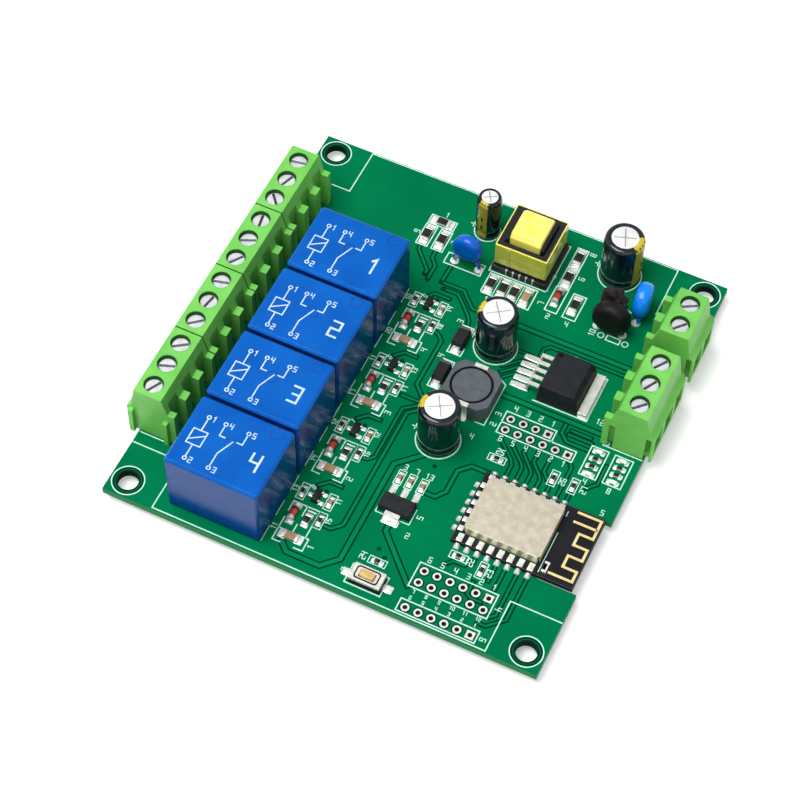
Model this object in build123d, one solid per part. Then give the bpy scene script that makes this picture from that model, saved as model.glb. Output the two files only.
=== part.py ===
from build123d import *
import os

os.makedirs("parts", exist_ok=True)

# Circuit board. Positions are in board coordinates: x along the front edge and y
# towards the back, both from the front left corner, heights above the top face.
BOARD_X = 87.0
BOARD_Y = 93.0
BOARD_T = 1.6
MOUNT_INSET = 3.5
MOUNT_R = 2.0
ANTENNA_NOTCH_X = BOARD_X - 8.0
ANTENNA_NOTCH_Y = (17.7, 34.2)
TAIL = 1.8  # every soldered lead stands this far out of the underside
LEAD_FIT = 0.05  # play of a lead in its hole and of a cover on its base

# Unpopulated pin header rows: first hole of each row, and its number of holes.
PITCH = 2.54
HEADER_HOLE_R = 0.5
HEADER_STARTS = [(60.5, 2.07), (60.5, 7.63), (60.5, 10.17), (61.27, 44.05), (61.27, 46.6)]
HEADER_COUNTS = [6, 6, 6, 6, 4]

# Small rounds that repeat are drawn with flats, which stay within 0.07 mm of the circle.
BODY_SIDES = 22
ROUND_SIDES = 12
SMALL_SIDES = 8
SHANK_SIDES = 6

# Screw terminal blocks. Profile sizes run from the rear face (u = 0) to the wire side.
POLE_PITCH = 5.08
BLOCK_END = 0.28
BLOCK_DEPTH = 10.1
BLOCK_H = 13.0
RIB_H = 9.0
RIB_U = 1.4
TOP_U = (2.5, 8.2)
LIP_U = 9.05
LIP_Z = (6.8, 7.8)
SCREW_U = 5.45
WELL_R = 1.95
SCREW_R = 1.75
HEAD_Z = (10.3, 12.2)
SCREW_FIT = 0.05  # play of the shank in its shaft and nut, and of the head on its ledge
SHANK_R = 1.25
SLOT_L = 3.2
SLOT_W = 0.55
SLOT_DEPTH = 0.7
SLOT_ANGLES = (35, 20, 62, 15, 80, 40, 100, 25, 55, 10, 70, 130, 45, 60, 55, 48, 30)
CHAMBER_HALF = 1.97
CHAMBER_U = (2.2, 7.9)
CHAMBER_TOP = 8.9
ENTRY_Z = (1.2, 6.3)
RECESS_U = 1.9
RECESS_HALF = 1.55
CAGE_U = (3.2, 7.6)
CAGE_HALF = 1.9
CAGE_Z = (1.25, 6.0)
CAGE_WALL = 0.45
NUT_T = 1.2
CONTACT_Z = (4.0, 4.6)
CONTACT_T = 0.6
CONTACT_HALF = 0.55
RAIL_U = (1.8, 9.0)
RAIL_W = 0.95
RAIL_OUT = 0.9
RAIL_H = 6.8
RAIL_FIT = 0.12
OUTPUT_OVERHANG = 2.2
SUPPLY_OVERHANG = 1.4
OUTPUT_REAR_X = BLOCK_DEPTH - OUTPUT_OVERHANG
SUPPLY_REAR_X = BOARD_X + SUPPLY_OVERHANG - BLOCK_DEPTH
OUTPUT_BLOCKS = [22.15 + 16.05 * k for k in range(4)]
MAINS_BLOCK_Y = 57.2
DC_BLOCK_Y = 74.45

# Relays: sealed cases on potted bases, five pins each.
RELAY_X = 21.8
RELAY_ROWS = [10.15 + 16.02 * k for k in range(4)]
RELAY_L = 18.8
RELAY_W = 15.3
RELAY_Z = (0.3, 15.4)
RELAY_EDGE = 0.45
RELAY_BASE_T = 1.2
RELAY_WALL = 0.8
RELAY_PINS = [(7.1, 0), (5.1, 6.0), (5.1, -6.0), (-7.1, 6.0), (-7.1, -6.0)]

# Electrolytic capacitors: centre, radius and height of each can.
CANS = {
    "input_capacitor": (39.1, 85.1, 2.5, 11.0),
    "bulk_capacitor": (66.7, 86.8, 4.0, 12.0),
    "middle_capacitor": (51.9, 60.5, 4.0, 11.6),
    "output_capacitor": (50.9, 36.6, 4.0, 11.6),
}

# Transformer lying in its core ring, winding along x.
CORE_CENTRE = (49.35, 82.6)
CORE_SIZE = 10.7
CORE_Z = (2.6, 8.0)
CORE_LEG = 1.3
CORE_POST = 2.8
TAPE_T = 0.12
FLANGE_T = 0.65
WINDING_TOP = 10.4
WINDING_CORNER = 0.9

# Radial discs: capacitor, varistor and thermistor.
DISC_CAP = (38.9, 75.6, 5.7)
VARISTOR = (74.0, 80.0, 4.6)
THERMISTOR = (70.1, 73.6, 4.3)
DISC_CAP_R = 3.1
VARISTOR_R = 3.5
THERMISTOR_R = 3.9
LEG_REACH = 2.6

# Wireless module on the right edge.
MODULE_INSET = 0.95
MODULE_L = 24.0
MODULE_X = (BOARD_X - MODULE_INSET - MODULE_L, BOARD_X - MODULE_INSET)
MODULE_Y = (17.8, 33.8)
MODULE_T = 0.85
SHIELD_X = (MODULE_X[0] + 1.55, MODULE_X[0] + 16.55)
SHIELD_Y = (20.0, 32.0)
SHIELD_H = 2.2
SHIELD_WALL = 0.2
CASTELLATION = 0.6
CASTELLATION_PITCH = 2.0

# Power inductor, regulators and diodes.
INDUCTOR = (52.4, 48.0)
INDUCTOR_W = 9.7
INDUCTOR_H = 4.0
INDUCTOR_BORE_R = 4.15
INDUCTOR_GAP = 0.4
SWITCHER_X = (63.6, 72.1)
SWITCHER_Y = (52.7, 62.6)
SWITCHER_H = 4.4
SWITCHER_SLOPE = 0.8
SWITCHER_PITCH = 1.7
LINEAR = (50.4, 19.9)
LINEAR_SIZE = (6.5, 3.5, 1.6)
LINEAR_PITCH = 2.3
POWER_DIODES = [(45.4, 58.8), (45.3, 50.1)]
POWER_DIODE_SIZE = (2.6, 4.3, 2.1)

# Each relay channel's cluster stands at one of these rows, with offsets in y from it.
CHANNELS = [6.0, 22.0, 38.2, 54.1]
STANDOFF = 0.05  # solder under a surface-mounted part

# Chip sizes: length between the ends, width, height.
CHIP_1206 = (3.2, 1.6, 0.6)
CHIP_0805 = (2.0, 1.25, 0.55)
CHIP_0603 = (1.6, 0.8, 0.45)
GLASS_DIODE = (3.5, 0.7)  # length, radius
SOT_SIZE = (2.9, 1.3, 1.0)

# Reset switch at the front edge.
RESET = (52.1, 4.0)
RESET_SIZE = (6.2, 3.4, 1.9)
PLUNGER_SIZE = (2.9, 1.5)
PLUNGER_Z = (1.1, 2.4)
PLUNGER_TRAVEL = 0.25
PLUNGER_FIT = 0.06

BOTTOM = (Align.CENTER, Align.CENTER, Align.MIN)


def spot(x, y, z=0.0):
    """A place on the board, in the part's frame: centre of the board's underside."""
    return Pos(x - BOARD_X / 2, y - BOARD_Y / 2, z + BOARD_T)


def block(x, y, z, size_x, size_y, size_z):
    """A cuboid centred on x, y and standing on height z."""
    return spot(x, y, z) * Box(size_x, size_y, size_z, align=BOTTOM)


def span(xs, ys, zs):
    """A cuboid between pairs of limits."""
    middle = [(low + high) / 2 for low, high in (xs, ys)]
    return block(*middle, zs[0], xs[1] - xs[0], ys[1] - ys[0], zs[1] - zs[0])


def local_span(us, vs, zs):
    """The same in a terminal block's own frame, rear face at u = 0."""
    size = [high - low for low, high in (us, vs, zs)]
    return Pos(*[(low + high) / 2 for low, high in (us, vs, zs)]) * Box(*size)


def upright(points, width):
    """An outline in the XZ plane, thickened both ways along Y."""
    face = make_face(Polyline(*points, close=True))
    return extrude(Plane.XZ * face, amount=width / 2, both=True)


def lead(x, y, top, size_x, size_y):
    """A straight lead from a height above the board to the end of its tail."""
    return block(x, y, -BOARD_T - TAIL, size_x, size_y, top + BOARD_T + TAIL)


def save(name, *shapes):
    solids = [solid for shape in shapes for solid in shape.solids()]
    whole = solids[0] if len(solids) == 1 else Compound(solids)
    export_step(whole, f"parts/{name}.step")


# Terminal blocks.
def poles(count):
    return [(i - (count - 1) / 2) * POLE_PITCH for i in range(count)]


def housing(count):
    """A moulded housing, open below round its contacts.

    It has rails at +v and grooves at -v, so that blocks slide together.
    """
    half = count * POLE_PITCH / 2 + BLOCK_END
    outline = [
        (0, 0),
        (BLOCK_DEPTH, 0),
        (BLOCK_DEPTH, LIP_Z[0]),
        (LIP_U, LIP_Z[1]),
        (TOP_U[1], BLOCK_H),
        (TOP_U[0], BLOCK_H),
        (RIB_U, RIB_H),
        (0, RIB_H),
    ]
    body = upright(outline, 2 * half)
    shaft_half = SHANK_R + SCREW_FIT
    for v in poles(count):
        well = extrude(RegularPolygon(WELL_R, ROUND_SIDES), BLOCK_H)
        body -= Pos(SCREW_U, v, HEAD_Z[0] - SCREW_FIT) * well
        body -= local_span(
            (SCREW_U - shaft_half, SCREW_U + shaft_half),
            (v - shaft_half, v + shaft_half),
            (CHAMBER_TOP, HEAD_Z[0]),
        )
        body -= local_span(CHAMBER_U, (v - CHAMBER_HALF, v + CHAMBER_HALF), (0, CHAMBER_TOP))
        body -= local_span(
            (CHAMBER_U[1], BLOCK_DEPTH),
            (v - CHAMBER_HALF, v + CHAMBER_HALF),
            ENTRY_Z,
        )
        body -= local_span((0, RECESS_U), (v - RECESS_HALF, v + RECESS_HALF), (0, BLOCK_H))
    for u in RAIL_U:
        body += local_span(
            (u - RAIL_W / 2, u + RAIL_W / 2), (half, half + RAIL_OUT), (0, RAIL_H)
        )
        wide = RAIL_W / 2 + RAIL_FIT
        body -= local_span(
            (u - wide, u + wide), (-half, RAIL_OUT + RAIL_FIT - half), (0, RAIL_H + RAIL_FIT)
        )
    return body


def contact(v):
    """The contact strip: a tongue in the cage, then a leg that is soldered in the board."""
    rear = CHAMBER_U[0] + LEAD_FIT
    tongue = CAGE_U[1] - 0.2
    tail = -BOARD_T - TAIL
    outline = [
        (rear, CONTACT_Z[1]),
        (tongue, CONTACT_Z[1]),
        (tongue, CONTACT_Z[0]),
        (rear + CONTACT_T, CONTACT_Z[0]),
        (rear + CONTACT_T, tail),
        (rear, tail),
    ]
    return Pos(0, v, 0) * upright(outline, 2 * CONTACT_HALF)


def cage(v):
    """The square cage that the screw draws up, with its nut on top; open along u for the wire."""
    outside = local_span(CAGE_U, (v - CAGE_HALF, v + CAGE_HALF), CAGE_Z)
    half = CAGE_HALF - CAGE_WALL
    way = local_span(
        CAGE_U, (v - half, v + half), (CAGE_Z[0] + CAGE_WALL, CAGE_Z[1] - NUT_T)
    )
    hole = SHANK_R + SCREW_FIT
    nut = local_span(
        (SCREW_U - hole, SCREW_U + hole), (v - hole, v + hole), (CONTACT_Z[1], CAGE_Z[1])
    )
    return outside - way - nut


def clamp_screw(v, turn):
    """A slotted head on the ledge of its well, and a shank down to the tongue."""
    tip = CONTACT_Z[1] + SCREW_FIT
    head = extrude(RegularPolygon(SCREW_R, ROUND_SIDES), HEAD_Z[1] - HEAD_Z[0])
    shank = extrude(RegularPolygon(SHANK_R, SHANK_SIDES), HEAD_Z[0] - tip)
    slot = Rot(0, 0, turn) * Box(SLOT_L, SLOT_W, 2 * SLOT_DEPTH)
    screw = Pos(0, 0, HEAD_Z[0]) * head + Pos(0, 0, tip) * shank - Pos(0, 0, HEAD_Z[1]) * slot
    return Pos(SCREW_U, v, 0) * screw


def place_output(y):
    return spot(OUTPUT_REAR_X, y) * Rot(0, 0, 180)


def place_supply(y):
    return spot(SUPPLY_REAR_X, y)


BLOCKS = {
    f"output_terminal_housing_{k}": (place_output(y), 3)
    for k, y in enumerate(OUTPUT_BLOCKS, 1)
}
BLOCKS["mains_terminal_housing"] = (place_supply(MAINS_BLOCK_Y), 3)
BLOCKS["dc_terminal_housing"] = (place_supply(DC_BLOCK_Y), 2)

contacts, cages = [], []
for name, (place, count) in BLOCKS.items():
    save(name, place * housing(count))
    for v in poles(count):
        contacts.append(place * contact(v))
        cages.append(place * cage(v))
        number = len(cages)
        save(f"clamp_screw_{number}", place * clamp_screw(v, SLOT_ANGLES[number - 1]))
save("terminal_contacts", *contacts)
save("wire_clamp_cages", *cages)


# Relays.
def relay_case(y):
    height = RELAY_Z[1] - RELAY_Z[0]
    case = Box(RELAY_L, RELAY_W, height, align=BOTTOM)
    edges = case.edges().filter_by(Axis.Z) + case.faces().sort_by(Axis.Z)[-1].edges()
    case = chamfer(edges, RELAY_EDGE)
    mouth = (RELAY_L - 2 * RELAY_WALL, RELAY_W - 2 * RELAY_WALL)
    case -= Box(*mouth, RELAY_BASE_T, align=BOTTOM)
    return spot(RELAY_X, y, RELAY_Z[0]) * case


def relay_base(y):
    play = 2 * (RELAY_WALL + LEAD_FIT)
    size = (RELAY_L - play, RELAY_W - play, RELAY_BASE_T - 0.2)
    return block(RELAY_X, y, RELAY_Z[0] + 0.1, *size)


def relay_pins(y):
    return [lead(RELAY_X + dx, y + dy, RELAY_Z[0] + 0.1, 0.5, 0.9) for dx, dy in RELAY_PINS]


for number, y in enumerate(RELAY_ROWS, 1):
    save(f"relay_case_{number}", relay_case(y))
save("relay_bases", *[relay_base(y) for y in RELAY_ROWS])
pins = [pin for y in RELAY_ROWS for pin in relay_pins(y)]
save("relay_pins", *pins)


# Electrolytic capacitors, each a sealed can on two leads.
def can(x, y, radius, height):
    return spot(x, y) * extrude(RegularPolygon(radius, BODY_SIDES), height)


wires = []
for name, (x, y, radius, height) in CANS.items():
    save(name, can(x, y, radius, height))
    reach = 0.45 * radius
    wires += [lead(x - reach, y, 0, 0.5, 0.5), lead(x + reach, y, 0, 0.5, 0.5)]


# Transformer: core ring with its centre leg, tape band, bobbin and winding.
def ring(outer_x, outer_y, inner_x, inner_y, zs):
    height = zs[1] - zs[0]
    frame = Box(outer_x, outer_y, height, align=BOTTOM) - Box(inner_x, inner_y, height, align=BOTTOM)
    return spot(*CORE_CENTRE, zs[0]) * frame


window = CORE_SIZE - 2 * CORE_LEG
core_middle = (CORE_Z[0] + CORE_Z[1]) / 2
post = spot(*CORE_CENTRE, core_middle) * Box(window, CORE_POST, CORE_POST)
save("transformer_core", ring(CORE_SIZE, CORE_SIZE, window, window, CORE_Z) + post)
taped = CORE_SIZE + 2 * TAPE_T
save("transformer_tape", ring(taped, taped, CORE_SIZE, CORE_SIZE, CORE_Z))

bobbin_z = (1.0, 9.2)
winding_w = window - 0.3
tube = CORE_POST + 2 * LEAD_FIT
flange_x = window / 2 - 0.1 - FLANGE_T / 2
flanges = [
    spot(CORE_CENTRE[0] + side * flange_x, CORE_CENTRE[1], bobbin_z[0])
    * Box(FLANGE_T, winding_w, bobbin_z[1] - bobbin_z[0], align=BOTTOM)
    for side in (-1, 1)
]
barrel = spot(*CORE_CENTRE, core_middle) * Box(2 * flange_x, tube + 1.0, tube + 1.0)
foot = block(*CORE_CENTRE, 0.3, CORE_SIZE, CORE_SIZE, CORE_Z[0] - LEAD_FIT - 0.3)
bobbin = flanges[0] + flanges[1] + barrel + foot
bobbin -= spot(*CORE_CENTRE, core_middle) * Box(window, tube, tube)
save("transformer_bobbin", bobbin)

winding_x = 2 * flange_x - FLANGE_T
coil = Box(winding_x, winding_w - 0.2, WINDING_TOP - CORE_Z[0])
coil = chamfer(coil.edges().filter_by(Axis.X), WINDING_CORNER)
coil = spot(*CORE_CENTRE, (WINDING_TOP + CORE_Z[0]) / 2) * coil
coil -= spot(*CORE_CENTRE, core_middle) * Box(winding_x, tube + 1.0, tube + 1.0)
save("transformer_winding", coil)

for row in (-1, 1):
    for k in range(5):
        x = CORE_CENTRE[0] + (k - 2) * 1.4 + 0.2
        wires.append(lead(x, CORE_CENTRE[1] + row * 4.6, 0.3, 0.5, 0.5))


# Radial discs on kinked legs.
def disc(radius, thickness):
    return Rot(90, 0, 0) * extrude(RegularPolygon(radius, BODY_SIDES), thickness / 2, both=True)


def kinked_leg(outward, top):
    """A leg that leaves the disc, steps outward and goes through the board."""
    wire = 0.5
    low, high = top * 0.35, top * 0.7
    points = [(0, -BOARD_T - TAIL), (0, low), (-outward, high), (-outward, top)]
    back = [(x + wire, z) for x, z in reversed(points)]
    return Pos(-wire / 2, 0, 0) * upright(points + back, wire)


save("disc_capacitor", spot(*DISC_CAP) * disc(DISC_CAP_R, 2.8))
save("varistor", spot(*VARISTOR) * Rot(0, 0, 98) * disc(VARISTOR_R, 3.2))
save("thermistor", spot(*THERMISTOR) * disc(THERMISTOR_R, 3.4))
discs = [(DISC_CAP, 0, DISC_CAP_R), (VARISTOR, 90, VARISTOR_R), (THERMISTOR, 0, THERMISTOR_R)]
for (x, y, z), turn, radius in discs:
    for side in (-1, 1):
        reach, shift = LEG_REACH, 0.7
        height = z - (radius**2 - (reach - shift) ** 2) ** 0.5
        leg = kinked_leg(side * shift, height - 0.1)
        place = spot(x, y) * Rot(0, 0, turn) * Pos(side * reach, 0, 0)
        wires.append(place * leg)
save("lead_wires", *wires)


# Power inductor: a round drum in a square shield, with a gap ring between them.
shield = block(*INDUCTOR, STANDOFF, INDUCTOR_W, INDUCTOR_W, INDUCTOR_H)
shield = chamfer(shield.edges().filter_by(Axis.Z), 1.6)
bore = extrude(RegularPolygon(INDUCTOR_BORE_R, BODY_SIDES), INDUCTOR_GAP)
drum = extrude(RegularPolygon(INDUCTOR_BORE_R - INDUCTOR_GAP, BODY_SIDES), INDUCTOR_GAP)
gap = spot(*INDUCTOR, STANDOFF + INDUCTOR_H - INDUCTOR_GAP) * (bore - drum)
save("power_inductor", shield - gap)


# Regulators: tapered bodies, gull-wing leads and a tab.
def tapered(x, y, size_x, size_y, height, draft=6):
    return spot(x, y, 2 * STANDOFF) * extrude(Rectangle(size_x, size_y), height, taper=draft)


def gull_wing(root_z, reach, foot, thick=0.3, width=0.8):
    """A lead along +x from a body's side at root_z, down to a foot on the board."""
    knee = reach - foot
    outline = [
        (0, root_z),
        (0, root_z - thick),
        (knee - thick, root_z - thick),
        (knee - thick / 2, STANDOFF),
        (reach, STANDOFF),
        (reach, STANDOFF + thick),
        (knee + thick / 2, STANDOFF + thick),
        (knee, root_z),
    ]
    return upright(outline, width)


middle_y = sum(SWITCHER_Y) / 2
width_x = SWITCHER_X[1] - SWITCHER_X[0]
width_y = SWITCHER_Y[1] - SWITCHER_Y[0]
body = tapered(SWITCHER_X[0] + width_x / 2, middle_y, width_x, width_y, SWITCHER_H)
tab_edge = body.faces().sort_by(Axis.Z)[-1].edges().sort_by(Axis.X)[-1]
save("switching_regulator", chamfer(tab_edge, SWITCHER_SLOPE))
metal = [span((SWITCHER_X[1], SWITCHER_X[1] + 1.8), SWITCHER_Y, (STANDOFF, 1.3))]
for k in range(-2, 3):
    root = spot(SWITCHER_X[0], middle_y + k * SWITCHER_PITCH)
    metal.append(root * Rot(0, 0, 180) * gull_wing(2.6, 5.0, 2.6, 0.45))
save("linear_regulator", tapered(*LINEAR, *LINEAR_SIZE))
side = LINEAR_SIZE[1] / 2 - 0.05
for k in (-1, 0, 1):
    root = spot(LINEAR[0] + k * LINEAR_PITCH, LINEAR[1] + side)
    metal.append(root * Rot(0, 0, 90) * gull_wing(0.9, 1.8, 1.0, 0.25))
tab = spot(LINEAR[0], LINEAR[1] - side) * Rot(0, 0, -90)
metal.append(tab * gull_wing(0.9, 1.8, 1.0, 0.25, 3.0))
save("regulator_metalwork", *metal)

small_leads = []
bodies = []
for x, y in POWER_DIODES:
    bodies.append(tapered(x, y, *POWER_DIODE_SIZE))
    for end in (-1, 1):
        small_leads.append(block(x, y + end * 2.4, STANDOFF, 1.4, 0.45, 0.9))
save("power_diodes", *bodies)


# Small surface-mounted parts. A chip stands along y unless it is turned along x.
def chips(size, places, along_x=False):
    length, width, height = size
    flat = (length, width) if along_x else (width, length)
    return [block(x, y, STANDOFF, *flat, height) for x, y in places]


def per_channel(x, offset):
    return [(x, row + offset) for row in CHANNELS]


resistors = chips(CHIP_1206, [(45.1, 73.5), (47.7, 73.5), (50.0, 73.5)])
resistors += chips(CHIP_1206, [(28.7, 79.0), (32.0, 79.0)])
resistors += chips(CHIP_1206, [(58.1, 86.7), (58.1, 81.5), (61.8, 75.9)])
resistors += chips(CHIP_1206, [(30.3, 83.0)], along_x=True)
resistors += chips(CHIP_0805, per_channel(36.8, 4.3))
resistors += chips(CHIP_0603, [(79.0, 41.9 + 1.75 * k) for k in range(4)], along_x=True)
resistors += chips(CHIP_0603, [(83.8, 42.2 + 1.65 * k) for k in range(4)], along_x=True)
resistors += chips(CHIP_0603, [(73.6, 38.3), (77.6, 38.3), (69.7, 14.8)])
resistors += chips(CHIP_0603, [(62.5, 37.5), (64.8, 15.6), (52.1, 8.2)], along_x=True)
resistors += chips(CHIP_0603, per_channel(33.4, 9.6) + per_channel(39.0, 5.3))
save("chip_resistors", *resistors)

capacitors = chips(CHIP_1206, [(52.5, 73.5)])
capacitors += chips(CHIP_1206, per_channel(35.7, 0.0), along_x=True)
capacitors += chips(CHIP_0603, [(48.1, 26.0), (50.3, 26.0), (52.7, 26.0)] + per_channel(39.0, 9.6))
save("chip_capacitors", *capacitors)


def glass_diode(x, y):
    length, radius = GLASS_DIODE
    barrel = Rot(90, 0, 0) * extrude(RegularPolygon(radius, SMALL_SIDES), length / 2, both=True)
    return spot(x, y, STANDOFF + radius) * barrel


save("glass_diodes", *[glass_diode(x, y) for x, y in per_channel(34.0, 4.6) + [(58.0, 76.2)]])

transistors = []
for x, y in per_channel(36.2, 9.6):
    length, width, height = SOT_SIZE
    transistors.append(block(x, y, 2 * STANDOFF, width, length, height))
save("transistors", *transistors)

# Wireless module: its own thin board with castellated edges under a metal shield.
middle_x, middle_y = sum(MODULE_X) / 2, sum(MODULE_Y) / 2
carrier = span(MODULE_X, MODULE_Y, (STANDOFF, STANDOFF + MODULE_T))
notch = (CASTELLATION, CASTELLATION, 2 * MODULE_T)
for k in range(8):
    x = MODULE_X[0] + 1.5 + k * CASTELLATION_PITCH
    for y in MODULE_Y:
        carrier -= block(x, y, 0, *notch)
for k in range(6):
    y = middle_y + (k - 2.5) * CASTELLATION_PITCH
    carrier -= block(MODULE_X[0], y, 0, *notch)
save("module_board", carrier)
floor_z = STANDOFF + MODULE_T
cover = span(SHIELD_X, SHIELD_Y, (floor_z, floor_z + SHIELD_H))
cover = chamfer(cover.edges().filter_by(Axis.Z), 0.5)
inside = [(low + SHIELD_WALL, high - SHIELD_WALL) for low, high in (SHIELD_X, SHIELD_Y)]
cover -= span(*inside, (floor_z, floor_z + SHIELD_H - SHIELD_WALL))
save("module_shield", cover)
shield_middle = sum(SHIELD_X) / 2
inner = [
    block(shield_middle - 3.2, middle_y, floor_z, 5.0, 5.0, 0.9),
    block(shield_middle + 3.3, middle_y, floor_z, 5.0, 6.0, 0.9),
]
beacon = block(SHIELD_X[1] + 1.1, SHIELD_Y[0], floor_z, 0.8, 1.6, 0.5)
save("module_chips", *inner, beacon)

# Reset switch: a frame with a sprung plunger.
body = block(*RESET, STANDOFF, *RESET_SIZE)
pocket = [size + 2 * PLUNGER_FIT for size in PLUNGER_SIZE]
well_z = PLUNGER_Z[0] - PLUNGER_TRAVEL - PLUNGER_FIT
save("reset_switch_body", body - block(*RESET, well_z, *pocket, RESET_SIZE[2]))
save("reset_plunger", block(*RESET, PLUNGER_Z[0], *PLUNGER_SIZE, PLUNGER_Z[1] - PLUNGER_Z[0]))
for end in (-1, 1):
    x = RESET[0] + end * (RESET_SIZE[0] / 2 + 0.6)
    small_leads.append(block(x, RESET[1], STANDOFF, 1.2, 1.0, 0.3))
save("small_leads", *small_leads)


# Circuit board, drilled for every mount, header and lead.
def mount_holes():
    for x in (MOUNT_INSET, BOARD_X - MOUNT_INSET):
        for y in (MOUNT_INSET, BOARD_Y - MOUNT_INSET):
            yield spot(x, y, -BOARD_T) * Cylinder(MOUNT_R, BOARD_T, align=BOTTOM)


def header_holes():
    for (x, y), count in zip(HEADER_STARTS, HEADER_COUNTS):
        for k in range(count):
            drill = extrude(RegularPolygon(HEADER_HOLE_R, SMALL_SIDES), BOARD_T)
            yield spot(x + k * PITCH, y, -BOARD_T) * drill


def lead_holes(leads):
    """A hole round each lead's tail, with the same play on every side."""
    for solid in leads:
        tail = solid.faces().sort_by(Axis.Z)[0].bounding_box()
        size = tail.size
        hole = Box(size.X + 2 * LEAD_FIT, size.Y + 2 * LEAD_FIT, BOARD_T, align=BOTTOM)
        yield Pos(tail.center().X, tail.center().Y, 0) * hole


board = span((0, BOARD_X), (0, BOARD_Y), (-BOARD_T, 0))
board -= span((ANTENNA_NOTCH_X, BOARD_X), ANTENNA_NOTCH_Y, (-BOARD_T, 0))
board -= [*mount_holes(), *header_holes(), *lead_holes(contacts + pins + wires)]
save("circuit_board", board)
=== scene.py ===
import math

import bmesh
import bpy
from mathutils import Matrix, Vector


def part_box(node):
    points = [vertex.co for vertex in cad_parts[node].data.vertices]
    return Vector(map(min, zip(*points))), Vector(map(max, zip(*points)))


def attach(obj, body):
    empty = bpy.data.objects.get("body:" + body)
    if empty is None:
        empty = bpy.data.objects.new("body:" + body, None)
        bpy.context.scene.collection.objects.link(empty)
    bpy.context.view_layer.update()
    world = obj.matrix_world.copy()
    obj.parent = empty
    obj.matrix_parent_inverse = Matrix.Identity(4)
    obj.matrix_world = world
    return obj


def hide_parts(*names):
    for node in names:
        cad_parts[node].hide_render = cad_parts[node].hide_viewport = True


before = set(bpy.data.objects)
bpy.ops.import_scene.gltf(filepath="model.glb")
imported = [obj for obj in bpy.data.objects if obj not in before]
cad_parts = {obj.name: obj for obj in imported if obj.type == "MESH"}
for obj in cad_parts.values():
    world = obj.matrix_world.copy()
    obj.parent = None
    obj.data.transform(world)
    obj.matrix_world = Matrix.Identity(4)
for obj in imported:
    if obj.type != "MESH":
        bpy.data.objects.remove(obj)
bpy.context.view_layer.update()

# Circuit board
# A sheet of glass-fibre laminate 1.6 mm thick, drilled and routed to shape. Green solder mask
# covers both faces, and the routed edges show the bare laminate.


def colour(red, green, blue):
    """A screen colour, 0 to 255, as the linear values that a shader takes."""
    parts = [c / 255 for c in (red, green, blue)]
    return (*[c / 12.92 if c < 0.04045 else ((c + 0.055) / 1.055) ** 2.4 for c in parts], 1)


def new_group(name, inputs, outputs):
    """An empty node group with named sockets; an input also has its kind and value."""
    group = bpy.data.node_groups.new(name, "ShaderNodeTree")
    for label, kind, value in inputs:
        made = group.interface.new_socket(name=label, in_out="INPUT", socket_type=f"NodeSocket{kind}")
        made.default_value = value
    for label, kind in outputs:
        group.interface.new_socket(name=label, in_out="OUTPUT", socket_type=f"NodeSocket{kind}")
    nodes = group.nodes
    return group, nodes, group.links.new, nodes.new("NodeGroupInput"), nodes.new("NodeGroupOutput")


def add_node(nodes, kind, **values):
    """Adds a shader node and sets its inputs; From_Min stands for From Min."""
    made = nodes.new(f"ShaderNode{kind}")
    for name, value in values.items():
        made.inputs[name.replace("_", " ")].default_value = value
    return made


def mixed(nodes, link, share, first, second):
    """The colour between two colour sockets."""
    mix = add_node(nodes, "Mix")
    mix.data_type = "RGBA"
    link(share, mix.inputs["Factor"])
    link(first, mix.inputs[6])
    link(second, mix.inputs[7])
    return mix.outputs[2]


def make_grain_group():
    """Clouds of a second colour, uneven gloss and a fine height, as on moulded or coated skins."""
    inputs = [
        ("Colour", "Color", (0.5, 0.5, 0.5, 1)),
        ("Second Colour", "Color", (0.4, 0.4, 0.4, 1)),
        ("Cloud Scale", "Float", 200),
        ("Grain Scale", "Float", 4000),
        ("Low Roughness", "Float", 0.4),
        ("High Roughness", "Float", 0.6),
    ]
    outputs = [("Colour", "Color"), ("Roughness", "Float"), ("Height", "Float")]
    group, nodes, link, given, result = new_group("grained_skin", inputs, outputs)
    place = add_node(nodes, "TexCoord")
    clouds, grain = add_node(nodes, "TexNoise", Detail=4), add_node(nodes, "TexNoise", Detail=2)
    for noise, scale in ((clouds, "Cloud Scale"), (grain, "Grain Scale")):
        link(place.outputs["Object"], noise.inputs["Vector"])
        link(given.outputs[scale], noise.inputs["Scale"])
    spread = add_node(nodes, "MapRange", From_Min=0.35, From_Max=0.65)
    link(clouds.outputs["Fac"], spread.inputs["Value"])
    skin_colour = mixed(
        nodes, link, spread.outputs["Result"], given.outputs["Colour"], given.outputs["Second Colour"]
    )
    rough = add_node(nodes, "MapRange")
    link(grain.outputs["Fac"], rough.inputs["Value"])
    link(given.outputs["Low Roughness"], rough.inputs["To Min"])
    link(given.outputs["High Roughness"], rough.inputs["To Max"])
    link(skin_colour, result.inputs["Colour"])
    link(rough.outputs["Result"], result.inputs["Roughness"])
    link(grain.outputs["Fac"], result.inputs["Height"])
    return group


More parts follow.
